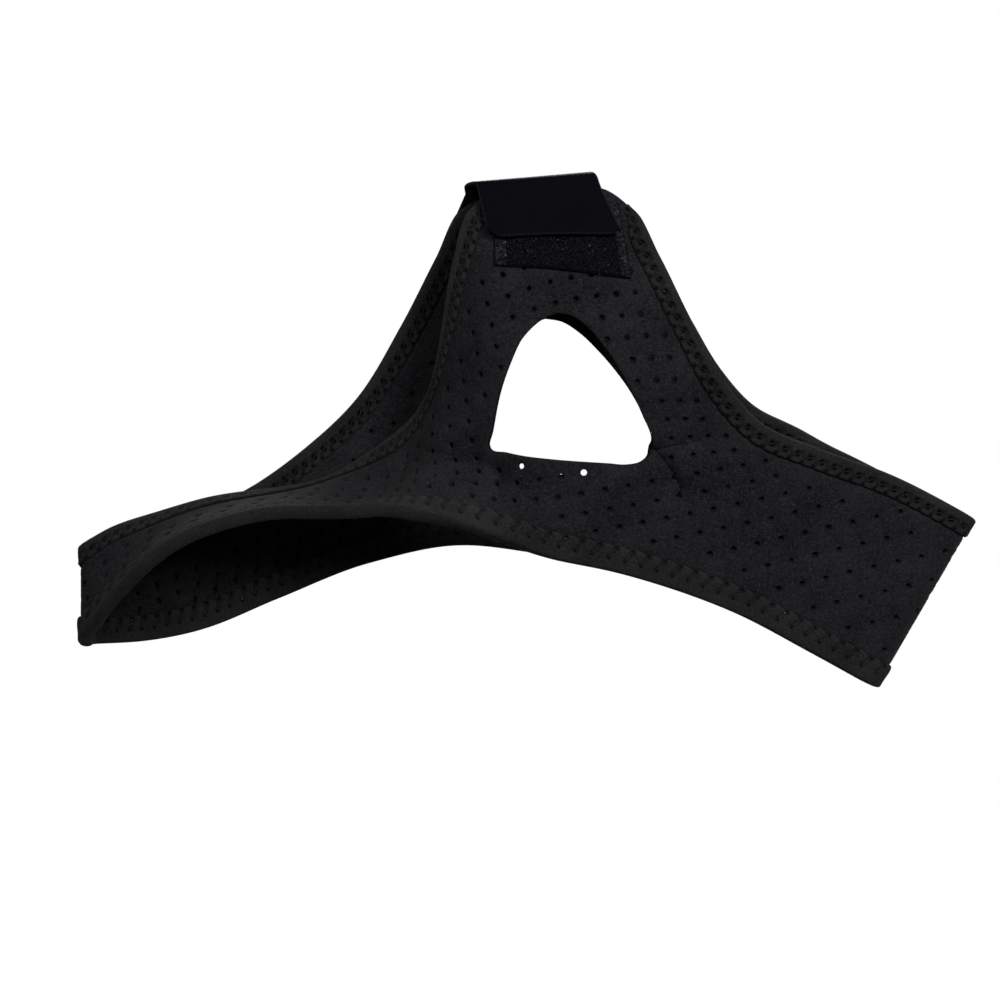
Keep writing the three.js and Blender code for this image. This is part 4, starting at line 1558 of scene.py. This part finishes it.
@dataclass
class Binding:
    """Folded knit tape over the edges of both panels, with its zigzag stitches."""

    node: str
    runs: tuple[TapeRun, TapeRun]
    cover: float
    zigzag: Zigzag
    dresser: Dresser
    step: float = 0.6
    clearance: float = 0.12
    border_thickness: float = 0.35
    thinnest: float = 0.2
    leg_steps: int = 17
    hidden_shares: tuple[float, ...] = (1, 0.75, 0.5, 0.25, 0)
    nose_steps: int = 7
    bite: float = 0.4
    bite_width: float = 0.5
    deepest: float = 0.5
    taper: float = 8.0
    cover_taper: float = 15.0
    end_thickness: float = 0.15
    needle_sink: float = 0.45

    def stations(self, run: TapeRun, lengths: np.ndarray) -> tuple[np.ndarray, np.ndarray]:
        """Cut edge and taped border along one stretch.

        Args:
            run: Stretch of edge.
            lengths: Lengths along the edge.

        Returns:
            Cut edge points and border points.
        """
        covers = self.cover + self.zigzag.scallop * self.zigzag.swell(lengths)
        covers = CUT_BACK + covers * run.ended(lengths, self.cover_taper, run.end_cover)
        edge = run.edge.insets(lengths, run.inward * CUT_BACK)
        border = run.edge.insets(lengths, run.inward * covers)
        for turn in TURNS:
            edge, border = turn.trimmed(edge), turn.trimmed(border)
        return edge, border

    def thickness(self, run: TapeRun, lengths: np.ndarray, share: float) -> np.ndarray:
        """Thickness of a leg along the tape at one share of the way from its border to the cut edge.

        Args:
            run: Stretch of edge.
            lengths: Lengths along the edge.
            share: 0 at the border and 1 at the cut edge.

        Returns:
            Thickness in millimetres.
        """
        zigzag = self.zigzag
        depth = (1 - share) * self.cover
        rounded = self.border_thickness + (TAPE - self.border_thickness) * math.sqrt(min(share / 0.1, 1.0))
        band = math.exp(-(((depth - zigzag.middle) / (1.3 * zigzag.half_width)) ** 2))
        dents = zigzag.dents(lengths, depth, self.bite, self.bite_width)
        full = np.maximum(rounded + zigzag.puff * band * zigzag.swell(lengths) - dents, self.thinnest)
        return full * run.ended(lengths, self.taper, self.end_thickness)

    def sections(self, run: TapeRun) -> tuple[np.ndarray, np.ndarray, np.ndarray]:
        """Cross-sections of the tape along one stretch.

        Args:
            run: Stretch of edge.

        Returns:
            Points by station and corner, in millimetres, their flat places, and their share of the deepest
            stitch press.
        """
        lengths = np.linspace(run.start, run.end, int(abs(run.end - run.start) / self.step) + 1)
        edge, border = self.stations(run, lengths)
        inside = WALL / 2 + self.clearance
        off = unit(run.side.points(edge) - run.side.points(edge + 0.1 * (border - edge)))
        shares = np.linspace(0.0, 1.0, self.leg_steps) ** 1.15
        rings, flats, dents = [], [], []

        def lay(share: float, height: np.ndarray | float, reach: np.ndarray | float, across: float) -> None:
            """Lays one line of points along the tape.

            Args:
                share: Share of the way from the border to the cut edge.
                height: Distance outwards from the panel's middle surface.
                reach: Distance out past the cut edge.
                across: Place across the flat tape.
            """
            flat = border + (edge - border) * share
            rings.append(run.side.stand_off(flat, height) + off * np.reshape(reach, (-1, 1)))
            flats.append(np.column_stack([lengths, np.full(len(lengths), across)]))
            pressed = self.zigzag.dents(lengths, (1 - share) * self.cover, self.bite, self.bite_width)
            dents.append(np.clip(pressed / self.deepest, 0.0, 1.0))

        for share in shares:
            lay(share, inside + self.thickness(run, lengths, share), 0.0, (share - 1) * self.cover)
        full = self.thickness(run, lengths, 1.0)
        for turn in np.linspace(math.pi / 2, -math.pi / 2, self.nose_steps + 2)[1:-1]:
            reach = (GAP + full) * math.cos(turn)
            lay(1.0, (inside + full) * math.sin(turn), reach, (math.pi / 2 - turn) * WALL / 2)
        for share in shares[::-1]:
            height = -inside - self.thickness(run, lengths, share)
            lay(share, height, 0.0, math.pi * WALL / 2 + (1 - share) * self.cover)
        for share in reversed(self.hidden_shares):
            lay(share, -inside, GAP if share == 1 else 0.0, self.cover * share)
        for share in self.hidden_shares:
            lay(share, inside, GAP if share == 1 else 0.0, self.cover * share)
        return np.stack(rings, axis=1), np.stack(flats, axis=1), np.stack(dents, axis=1)

    def tape_mesh(self) -> bpy.types.Mesh:
        """Closed mesh of the tape over both panels.

        Returns:
            The mesh, with its dents as an attribute.
        """
        first, second = (self.sections(run) for run in self.runs)
        points = np.concatenate([first[0], second[0]])
        flat = np.concatenate([first[1], second[1]])
        dents = np.concatenate([first[2], second[2]])
        count, ring = points.shape[:2]
        number = np.arange(count * ring).reshape(count, ring)
        ahead = np.roll(number, -1, axis=1)
        quads = np.stack([number[:-1], ahead[:-1], ahead[1:], number[1:]], axis=2).reshape(-1, 4)
        faces = [tuple(quad) for quad in quads.tolist()]
        faces += [tuple(number[0, ::-1].tolist()), tuple(number[-1].tolist())]
        mesh = mesh_from(self.node, points.reshape(-1, 3) * MM, faces)
        unwrap(mesh, flat.reshape(-1, 2))
        # How deep the stitches press each point, which the tape's finish turns into painted shade
        write_floats(mesh, DENT, dents)
        build = bmesh.new()
        build.from_mesh(mesh)
        bmesh.ops.triangulate(build, faces=[face for face in build.faces if len(face.verts) > 4])
        bmesh.ops.recalc_face_normals(build, faces=build.faces)
        build.to_mesh(mesh)
        build.free()
        return mesh

    def seam(self, run: TapeRun, leg: Leg) -> SeamLine:
        """Line of the zigzag on one leg of one stretch.

        Args:
            run: Stretch of edge.
            leg: Outer or inner leg.

        Returns:
            The seam line.
        """
        low, high = sorted((run.start, run.end))
        edge, border = self.stations(run, self.zigzag.quarters(low, high))
        share = 1 - self.zigzag.middle / self.cover
        flat = border + (edge - border) * share
        height = leg.value * (WALL / 2 + self.clearance + TAPE - 0.5 * self.bite)
        inward = unit(run.side.points(border) - run.side.points(edge))
        return SeamLine(run.side.stand_off(flat, height), inward, run.side.normals(flat) * leg.value)

    def flat_size(self) -> tuple[float, float]:
        """Size of the tape before it was folded.

        Returns:
            Width and length in metres.
        """
        width = 2 * self.cover + math.pi * WALL / 2
        length = sum(abs(run.end - run.start) for run in self.runs)
        return width * MM, length * MM

    def build(self, stitches: StitchTree) -> bpy.types.Object:
        """Builds the tape and its stitches.

        Args:
            stitches: Tree that sews thread.

        Returns:
            The tape.
        """
        tape = self.dresser.dress(f"{self.node}_tape", self.tape_mesh(), Slot.TAPE, (TAPE_KNIT,), self.node)
        lines = [self.seam(run, leg) for run in self.runs for leg in Leg]
        material = self.dresser.material(THREAD)
        thread = stitches.sew(
            lines, self.zigzag.half_width, self.zigzag.thread, material, sink=self.needle_sink
        )
        sewn = self.dresser.dress(f"{self.node}_stitches", thread, Slot.TAPE, (THREAD,))
        self.flat_size()
        return tape


class PileTree:
    """Loop pile: small arcs of yarn that stand on a cloth in random turns."""

    def __init__(self) -> None:
        """Builds the tree."""
        grown = GrowTree(
            "Loop pile",
            {
                "Density": ("Float", 2.0e6),
                "Loop Radius": ("Float", 0.0005),
                "Yarn Radius": ("Float", 0.00008),
                "Seed": ("Int", 0),
            },
        )
        make, given = grown.make, grown.inputs
        pile = make.attribute("pile", "FLOAT")
        density = make.math("MULTIPLY", given["Density"], pile)
        spread = make.add(
            "GeometryNodeDistributePointsOnFaces",
            {0: given["Geometry"], "Density": density, "Seed": given["Seed"]},
            distribute_method="RANDOM",
        )
        bend = {"Resolution": 6, "Start Angle": -0.5, "Sweep Angle": math.pi + 1.0}
        arc = make.add("GeometryNodeCurveArc", {"Radius": given["Loop Radius"], **bend})
        upright = make.add("GeometryNodeTransform", {0: arc.outputs[0], "Rotation": (math.pi / 2, 0.0, 0.0)})
        section = make.circle(3, given["Yarn Radius"])
        loop = make.add("GeometryNodeCurveToMesh", {0: upright.outputs[0], 1: section.outputs[0]})
        lean = make.add(
            "FunctionNodeRandomValue",
            {0: (-0.7, -0.7, -math.pi), 1: (0.7, 0.7, math.pi), "Seed": given["Seed"]},
            data_type="FLOAT_VECTOR",
        )
        turned = make.add(
            "FunctionNodeRotateRotation",
            {0: spread.outputs["Rotation"], 1: lean.outputs[0]},
            rotation_space="LOCAL",
        )
        size = make.add("FunctionNodeRandomValue", {2: 0.7, 3: 1.25, "Seed": given["Seed"]})
        loops = make.add(
            "GeometryNodeInstanceOnPoints",
            {
                0: spread.outputs[0],
                2: loop.outputs[0],
                "Rotation": turned.outputs[0],
                "Scale": size.outputs[1],
            },
        )
        grown.end(loops.outputs[0])
        self.grown = grown


@dataclass
class LoopPatch:
    """Fuzzy loop patch sewn on the right panel's crown end."""

    dresser: Dresser
    top: tuple[float, float, float] = (-20.5, 25.3, -6.5)
    bottom: tuple[float, float, float, float] = (-20.5, 29.5, -29.2, -35.5)
    columns: int = 48
    rows: int = 30
    clearance: float = 0.12
    ground: float = 1.0
    bevel: float = 0.35
    margins: tuple[float, float] = (4.3, 3.5)
    margin_pile: float = 0.3
    pitch: float = 2.6
    zigzag: float = 1.2
    density: float = 2.0
    loop_radius: float = 0.7
    yarn_radius: float = 0.17
    thread: float = 0.16
    margin_ease: float = 1.2
    seam_ends: tuple[float, float] = (0.03, 0.97)
    flat_size: tuple[float, float] = (0.050, 0.029)
    flat_area: float = 0.00124
    seed: int = 11

    def spread(self, across: np.ndarray, rise: np.ndarray) -> np.ndarray:
        """Pattern points of the patch.

        Args:
            across: Shares of the way from its left side to its right side.
            rise: Shares of the way from its lower edge to its upper edge.

        Returns:
            One point for each pair of shares.
        """
        left, right, high = self.top
        low_left, low_right, up_left, up_right = self.bottom
        low = low_left + (low_right - low_left) * across
        bottom = np.stack([low, up_left + (up_right - up_left) * across], axis=1)
        top = np.stack([left + (right - left) * across, np.full(len(across), high)], axis=1)
        return bottom + (top - bottom) * rise[:, None]

    def cut(self) -> tuple[np.ndarray, list[tuple[int, ...]]]:
        """Flat cut of the patch, inside its bevel.

        Returns:
            Pattern points and faces.
        """
        across, rise = np.meshgrid(
            np.linspace(0.0, 1.0, self.columns + 1), np.linspace(0.0, 1.0, self.rows + 1), indexing="ij"
        )
        flat = self.spread(across.ravel(), rise.ravel())
        middle = flat.mean(axis=0)
        flat = middle + (flat - middle) * (1 - self.bevel / 18)
        return flat, grid_faces(self.columns + 1, self.rows + 1)

    def seam(self, left: bool) -> SeamLine:
        """Line of zigzag stitches down one side margin.

        Args:
            left: Whether it is the left margin.

        Returns:
            The seam line.
        """
        inset = self.margins[0 if left else 1] / 2 / (self.top[1] - self.top[0])
        count = int((self.top[2] - self.bottom[2]) / self.pitch) * 4
        rise = np.linspace(*self.seam_ends, count + 1)
        flat = self.spread(np.full(count + 1, inset if left else 1 - inset), rise)
        height = WALL / 2 + self.clearance + self.ground
        outward = RIGHT.normals(flat)
        across = np.cross(outward, unit(np.gradient(RIGHT.points(flat), axis=0)))
        return SeamLine(RIGHT.stand_off(flat, height), across, outward)

    def fullness(self, flat: np.ndarray) -> np.ndarray:
        """Share of the full pile at points of the patch: none at its two sewn sides, all past the margins.

        Args:
            flat: Pattern points.

        Returns:
            Shares from 0 to 1.
        """
        full = np.ones(len(flat))
        for share, margin in zip((0.0, 1.0), self.margins):
            side = self.spread(np.full(2, share), np.array([0.0, 1.0]))
            past = distance_to_line(flat, side) - margin
            full = np.minimum(full, smooth_step(past / self.margin_ease + 0.5))
        return full

    def pile_host(self, flat: np.ndarray, faces: list[tuple[int, ...]]) -> bpy.types.Mesh:
        """Open face of the patch that says where the pile stands, thinner in the sewn margins.

        Args:
            flat: Pattern points of the patch.
            faces: Its faces.

        Returns:
            A mesh with the share of full pile as an attribute.
        """
        height = WALL / 2 + self.clearance + self.ground
        mesh = mesh_from("pile_host", RIGHT.stand_off(flat, height) * MM, faces)
        pile = self.margin_pile + (1 - self.margin_pile) * self.fullness(flat)
        write_floats(mesh, "pile", pile)
        return mesh

    def build(self, stitches: StitchTree, pile_tree: PileTree) -> bpy.types.Object:
        """Builds the patch, its stitches and its pile.

        Args:
            stitches: Tree that sews thread.
            pile_tree: Tree that stands loops on the patch.

        Returns:
            The patch.
        """
        flat, faces = self.cut()
        low = WALL / 2 + self.clearance
        rim = (RimStep(self.bevel, self.bevel),)
        shell = Shell(flat, faces, RIGHT.stand_off, low + self.ground, low, lambda line: rim)
        mesh = shell.mesh("loop_patch")
        sewn_down = self.fullness(np.array([flat[list(face)].mean(axis=0) for face in faces])) < 0.5
        for polygon, margin in zip(mesh.polygons, sewn_down):
            polygon.material_index = int(margin)
        patch = self.dresser.dress("loop_patch_cloth", mesh, Slot.LOOP, (LOOP_BASE, LOOP_EDGE), "loop_patch")
        lines = [self.seam(left) for left in (True, False)]
        thread = stitches.sew(lines, self.zigzag, self.thread, self.dresser.material(THREAD))
        sewn = self.dresser.dress("loop_patch_stitches", thread, Slot.LOOP, (THREAD,))
        pile = pile_tree.grown.grow(
            self.pile_host(flat, faces),
            {
                "Density": self.density / MM**2,
                "Loop Radius": self.loop_radius * MM,
                "Yarn Radius": self.yarn_radius * MM,
                "Seed": self.seed,
                "Material": self.dresser.material(LOOP_YARN),
            },
        )
        loops = self.dresser.dress("loop_patch_pile", pile, Slot.LOOP, (LOOP_YARN,))
        return patch


def grid_faces(columns: int, rows: int) -> list[tuple[int, ...]]:
    """Counter-clockwise quads of a grid of points that is numbered by column and row.

    Args:
        columns: Number of points across.
        rows: Number of points up.

    Returns:
        Faces as tuples of point numbers.
    """
    number = np.arange(columns * rows).reshape(columns, rows)
    quads = np.stack([number[:-1, :-1], number[1:, :-1], number[1:, 1:], number[:-1, 1:]], axis=2)
    return [tuple(quad) for quad in quads.reshape(-1, 4).tolist()]


@dataclass
class CrownTab:
    """Smooth-backed hook tab, folded over the crown from the loop patch to its seam on the left panel."""

    dresser: Dresser
    width: float = 45.0
    centre: float = -4.4
    slant: float = 0.32
    flare: float = 0.0037
    hem: float = -20.6
    seam_up: float = -24.0
    shoulder: float = -2.0
    ridge: float = 3.6
    ridge_rise: float = 0.084
    ridge_power: float = 0.3
    corner: float = 4.4
    ridge_length: float = 22.0
    columns: int = 44
    rows: int = 64
    bevel: float = 0.3
    stitch: float = 3.0
    thread: float = 0.16
    seam_inset: float = 3.0
    seam_depth: float = 9.0
    normal_step: float = 0.2

    @property
    def length(self) -> float:
        """Length of the strip from its hem to its sewn end."""
        return self.shoulder - self.hem + self.ridge_length + self.shoulder - self.seam_up

    def leg(self, side: WornSide, stand: float, place: np.ndarray, up: np.ndarray) -> np.ndarray:
        """Points of a leg that lies on one panel."""
        along = self.centre + place * (1 - self.flare * up) - side.outward * self.slant * up
        return side.stand_off(np.stack([along, up], axis=1), stand)

    def middle(self, strip: np.ndarray) -> np.ndarray:
        """Middle surface of the tab.

        Args:
            strip: Points as rows of (place across, length from the hem).

        Returns:
            Rows of (x, y, z) in millimetres.
        """
        place, run = strip.T
        front_length = self.shoulder - self.hem
        front_stand = WALL / 2 + GAP + PATCH + 2 * GAP + TAB / 2
        back_stand = WALL / 2 + GAP + TAPE + 2 * GAP + TAB / 2
        front = self.leg(RIGHT, front_stand, place, np.minimum(self.hem + run, self.shoulder))
        down = np.maximum(run - front_length - self.ridge_length, 0.0)
        back = self.leg(LEFT, back_stand, place, self.shoulder - down)
        angle = math.pi * np.clip((run - front_length) / self.ridge_length, 0.0, 1.0)
        over = front + (back - front) * ((1 - np.cos(angle)) / 2)[:, None]
        top = self.ridge + self.ridge_rise * place - TAB / 2
        lift = (top - over[:, 2]) * np.maximum(np.sin(angle), 0.0) ** self.ridge_power
        over[:, 0] -= self.slant * lift
        over[:, 2] += lift
        return over

    def place(self, strip: np.ndarray, height: np.ndarray) -> np.ndarray:
        """Points off the tab's middle surface, outwards.

        Args:
            strip: Points as rows of (place across, length from the hem).
            height: Distance outwards.

        Returns:
            Rows of (x, y, z) in millimetres.
        """
        step = self.normal_step
        across = self.middle(strip + (step, 0.0)) - self.middle(strip - (step, 0.0))
        along = self.middle(strip + (0.0, step)) - self.middle(strip - (0.0, step))
        return self.middle(strip) + unit(np.cross(across, along)) * np.reshape(height, (-1, 1))

    def cut(self) -> tuple[np.ndarray, list[tuple[int, ...]]]:
        """Flat cut of the strip, inside its bevel and with rounded corners at its hem.

        Returns:
            Points as rows of (place across, length from the hem), and faces.
        """
        half = self.width / 2 - self.bevel
        spacing = np.linspace(-1.0, 1.0, self.columns + 1)
        places = half * np.sin(spacing * math.pi / 2) * 0.35 + half * spacing * 0.65
        runs = np.linspace(self.bevel, self.length - self.bevel, self.rows + 1)
        across, run = np.meshgrid(places, runs, indexing="ij")
        into = np.maximum(np.abs(across) - (half - self.corner), 0.0)
        lift = self.corner - np.sqrt(np.maximum(self.corner**2 - into**2, 0.0))
        run = run + lift * np.clip(1 - run / (4 * self.corner), 0.0, 1.0)
        flat = np.stack([across.ravel(), run.ravel()], axis=1)
        return flat, grid_faces(self.columns + 1, self.rows + 1)

    def seam(self) -> SeamLine:
        """Box of straight stitches at the sewn end, on the left panel.

        Returns:
            The seam line.
        """
        half = self.width / 2 - self.seam_inset
        low = self.length - self.seam_inset
        high = low - self.seam_depth
        corners = np.array([(-half, low), (half, low), (half, high), (-half, high), (-half, low)])
        runs = np.concatenate([[0.0], np.cumsum(np.linalg.norm(np.diff(corners, axis=0), axis=1))])
        places = np.linspace(0.0, runs[-1], int(runs[-1] / self.stitch) * 2 + 1)
        strip = np.stack([np.interp(places, runs, corners[:, i]) for i in range(2)], axis=1)
        top = np.full(len(strip), TAB / 2)
        outward = unit(self.place(strip, top) - self.middle(strip))
        return SeamLine(self.place(strip, top), outward, outward)

    def build(self, stitches: StitchTree) -> bpy.types.Object:
        """Builds the tab and its stitches.

        Args:
            stitches: Tree that sews thread.

        Returns:
            The tab.
        """
        flat, faces = self.cut()
        rim = (RimStep(self.bevel, self.bevel),)
        mesh = Shell(flat, faces, self.place, TAB / 2, -TAB / 2, lambda line: rim).mesh("crown_tab")
        tab = self.dresser.dress("crown_tab_strip", mesh, Slot.HOOK, (HOOK_BACK,), "crown_tab")
        thread = stitches.sew([self.seam()], 0.0, self.thread, self.dresser.material(THREAD))
        sewn = self.dresser.dress("crown_tab_stitches", thread, Slot.HOOK, (THREAD,))
        return tab


@dataclass
class PanelSeams:
    """Flat zigzag seams that join the panels under the chin and behind the nape."""

    dresser: Dresser
    pitch: float = 4.0
    half_width: float = 1.8
    thread: float = 0.18

    def line(self, turn: Turn, leg: Leg) -> SeamLine:
        """Line of a seam on the outer or the inner face.

        Args:
            turn: End of the panels where the seam lies.
            leg: Outer or inner face.

        Returns:
            The seam line.
        """
        chin = turn is CHIN_TURN
        jaw = JAW_EDGE.insets(np.array([JAW_EDGE.length if chin else 0.0]), CUT_BACK + JAW_COVER + 1)[0]
        rim = RIM_EDGE.insets(np.array([RIM_EDGE.length if chin else 0.0]), -CUT_BACK - RIM_COVER - 1)[0]
        count = int(np.linalg.norm(rim - jaw) / self.pitch) * 4
        flat = turn.trimmed(jaw + (rim - jaw) * np.linspace(0.0, 1.0, count + 1)[:, None] + turn.axis)
        outward = RIGHT.normals(flat) * leg.value
        points = RIGHT.points(flat) + outward * WALL / 2
        points[:, 1] = 0.0
        return SeamLine(points, np.tile([0.0, 1.0, 0.0], (len(flat), 1)), outward)

    def build(self, stitches: StitchTree) -> bpy.types.Object:
        """Sews both seams.

        Args:
            stitches: Tree that sews thread.

        Returns:
            The thread.
        """
        lines = [self.line(turn, leg) for turn in TURNS for leg in Leg]
        thread = stitches.sew(lines, self.half_width, self.thread, self.dresser.material(THREAD))
        return self.dresser.dress("panel_seam_stitches", thread, Slot.FOAM, (THREAD,))


@dataclass(frozen=True)
class SoftLight:
    """Soft square light: its place and the length of its sides in metres, and its power in watts."""

    name: str
    place: tuple[float, float, float]
    size: float
    power: float


@dataclass
class Studio:
    """Pale floor, soft lights and the camera, in metres."""

    target: tuple[float, float, float] = (-0.018, -0.020, -0.1145)
    distance: float = 0.75
    elevation: float = 4.0
    lens: float = 74.25
    floor: float = -0.36
    radius: float = 0.6
    spokes: int = 96
    rings: int = 12
    daylight: float = 0.12
    glow: float = 0.8
    lights: tuple[SoftLight, ...] = (
        SoftLight("key", (0.75, -1.25, 0.6), 0.6, 35.0),
        SoftLight("fill", (-0.45, -1.3, 0.75), 0.8, 19.0),
        SoftLight("top", (0.0, 0.5, 1.6), 1.6, 4.0),
        SoftLight("back", (0.2, 1.4, 0.5), 1.0, 45.0),
    )

    def stage(self) -> None:
        """Builds the round floor."""
        angles = np.linspace(0.0, 2 * math.pi, self.spokes, endpoint=False)
        spoke = np.stack([np.cos(angles), np.sin(angles), np.zeros(self.spokes)], axis=1)
        middle = np.array([0.0, 0.0, self.floor])
        radii = self.radius * np.arange(1, self.rings + 1) / self.rings
        points = np.concatenate([middle[None], *(middle + radius * spoke for radius in radii)])
        faces = [(0, 1 + i, 1 + (i + 1) % self.spokes) for i in range(self.spokes)]
        for near in range(1, 1 + (self.rings - 1) * self.spokes, self.spokes):
            far = near + self.spokes
            for i in range(self.spokes):
                j = (i + 1) % self.spokes
                faces.append((near + i, far + i, far + j, near + j))
        mesh = mesh_from("studio_floor", points, faces)
        material = bpy.data.materials.new("pale_floor")
        material.use_nodes = True
        make = TreeMaker(material.node_tree)
        shader = material.node_tree.nodes["Principled BSDF"]
        shader.inputs["Roughness"].default_value = 0.9
        shader.inputs["Emission Color"].default_value = (1.0, 1.0, 1.0, 1.0)
        shader.inputs["Emission Strength"].default_value = self.glow
        place = make.add("ShaderNodeTexCoord").outputs["Object"]
        grain = make.noise(place, 30.0, 2.0)
        colour = Finish.mixed(make, grain, (0.9, 0.9, 0.9, 1.0), (0.94, 0.94, 0.94, 1.0))
        make.tree.links.new(colour, shader.inputs["Base Color"])
        mesh.materials.append(material)
        floor = show("studio_floor", mesh)
        floor.visible_diffuse = False

    def sky(self) -> None:
        """Fills the scene with dim daylight and leaves the far background white."""
        world = bpy.data.worlds.new("studio")
        world.use_nodes = True
        make = TreeMaker(world.node_tree)
        background = world.node_tree.nodes["Background"]
        background.inputs["Color"].default_value = (1.0, 1.0, 1.0, 1.0)
        seen = make.add("ShaderNodeLightPath").outputs["Is Camera Ray"]
        strength = make.add("ShaderNodeMapRange", {0: seen, 3: self.daylight, 4: 1.0}).outputs[0]
        make.tree.links.new(strength, background.inputs["Strength"])
        bpy.context.scene.world = world

    def add_light(self, light: SoftLight) -> None:
        """Adds a light that faces the strap.

        Args:
            light: Light to add.
        """
        data = bpy.data.lights.new(light.name, "AREA")
        data.size = light.size
        data.energy = light.power
        lamp = bpy.data.objects.new(light.name, data)
        lamp.location = light.place
        lamp.rotation_euler = (Vector(self.target) - Vector(light.place)).to_track_quat("-Z", "Y").to_euler()
        lamp.visible_camera = False
        bpy.context.scene.collection.objects.link(lamp)

    def camera(self) -> None:
        """Adds the camera."""
        data = bpy.data.cameras.new("camera")
        data.lens = self.lens
        data.clip_start = 0.01
        camera = bpy.data.objects.new("camera", data)
        tilt = math.radians(self.elevation)
        back = Vector((0.0, -math.cos(tilt), math.sin(tilt)))
        camera.location = Vector(self.target) + back * self.distance
        camera.rotation_euler = (-back).to_track_quat("-Z", "Y").to_euler()
        bpy.context.scene.collection.objects.link(camera)
        bpy.context.scene.camera = camera

    def build(self) -> None:
        """Builds the whole studio."""
        self.stage()
        self.sky()
        for light in self.lights:
            self.add_light(light)
        bpy.context.scene.view_settings.view_transform = "Standard"
        self.camera()


def bindings(dresser: Dresser) -> list[Binding]:
    """The three lengths of binding tape.

    Args:
        dresser: Maker of materials.

    Returns:
        The jaw, face and nape binding.
    """
    jaw, rim = JAW_EDGE.length, RIM_EDGE.length
    face, rear = RIM_EDGE.run_at(FACE_TAPE_END), RIM_EDGE.run_at(REAR_TAPE_END)
    wide = Zigzag(
        middle=5.6, half_width=1.8, pitch=6.0, puff=0.7, scallop=1.1,
        pits=(Pit(0.17, 1.9, 0.65, 0.95, 0.9), Pit(-0.15, -1.8, 0.6, 0.75, 0.75)),
    )
    narrow = Zigzag(
        middle=3.5, half_width=1.2, pitch=4.9, puff=0.2, scallop=0.25,
        pits=(Pit(0.5, -0.1, 0.65, 1.15, 1.25), Pit(0.0, 2.3, 0.5, 0.8, 0.7)), thread=0.15,
    )
    return [
        Binding(
            "jaw_binding",
            (TapeRun(RIGHT, JAW_EDGE, 0.0, jaw, 1), TapeRun(LEFT, JAW_EDGE, jaw, 0.0, 1)),
            JAW_COVER, wide, dresser,
        ),
        Binding(
            "face_binding",
            (
                TapeRun(RIGHT, RIM_EDGE, face, rim, -1, face, 0.4),
                TapeRun(LEFT, RIM_EDGE, rim, face, -1, face, 0.4),
            ),
            RIM_COVER, narrow, dresser,
        ),
        Binding(
            "nape_binding",
            (TapeRun(RIGHT, RIM_EDGE, rear, 0.0, -1, rear), TapeRun(LEFT, RIM_EDGE, 0.0, rear, -1, rear)),
            RIM_COVER, narrow, dresser,
        ),
    ]


def main() -> None:
    """Builds the studio and every piece of the strap in order."""
    logging.basicConfig(level=logging.INFO, format="%(name)s %(message)s")
    Studio().build()
    dresser = Dresser()
    stitches = StitchTree()
    panels = Panels(dresser)
    right, left = panels.build(AirHoleTree())
    seams = PanelSeams(dresser).build(stitches)
    for binding in bindings(dresser):
        binding.build(stitches)
    LoopPatch(dresser).build(stitches, PileTree())
    CrownTab(dresser).build(stitches)


if __name__ == "__main__":
    main()
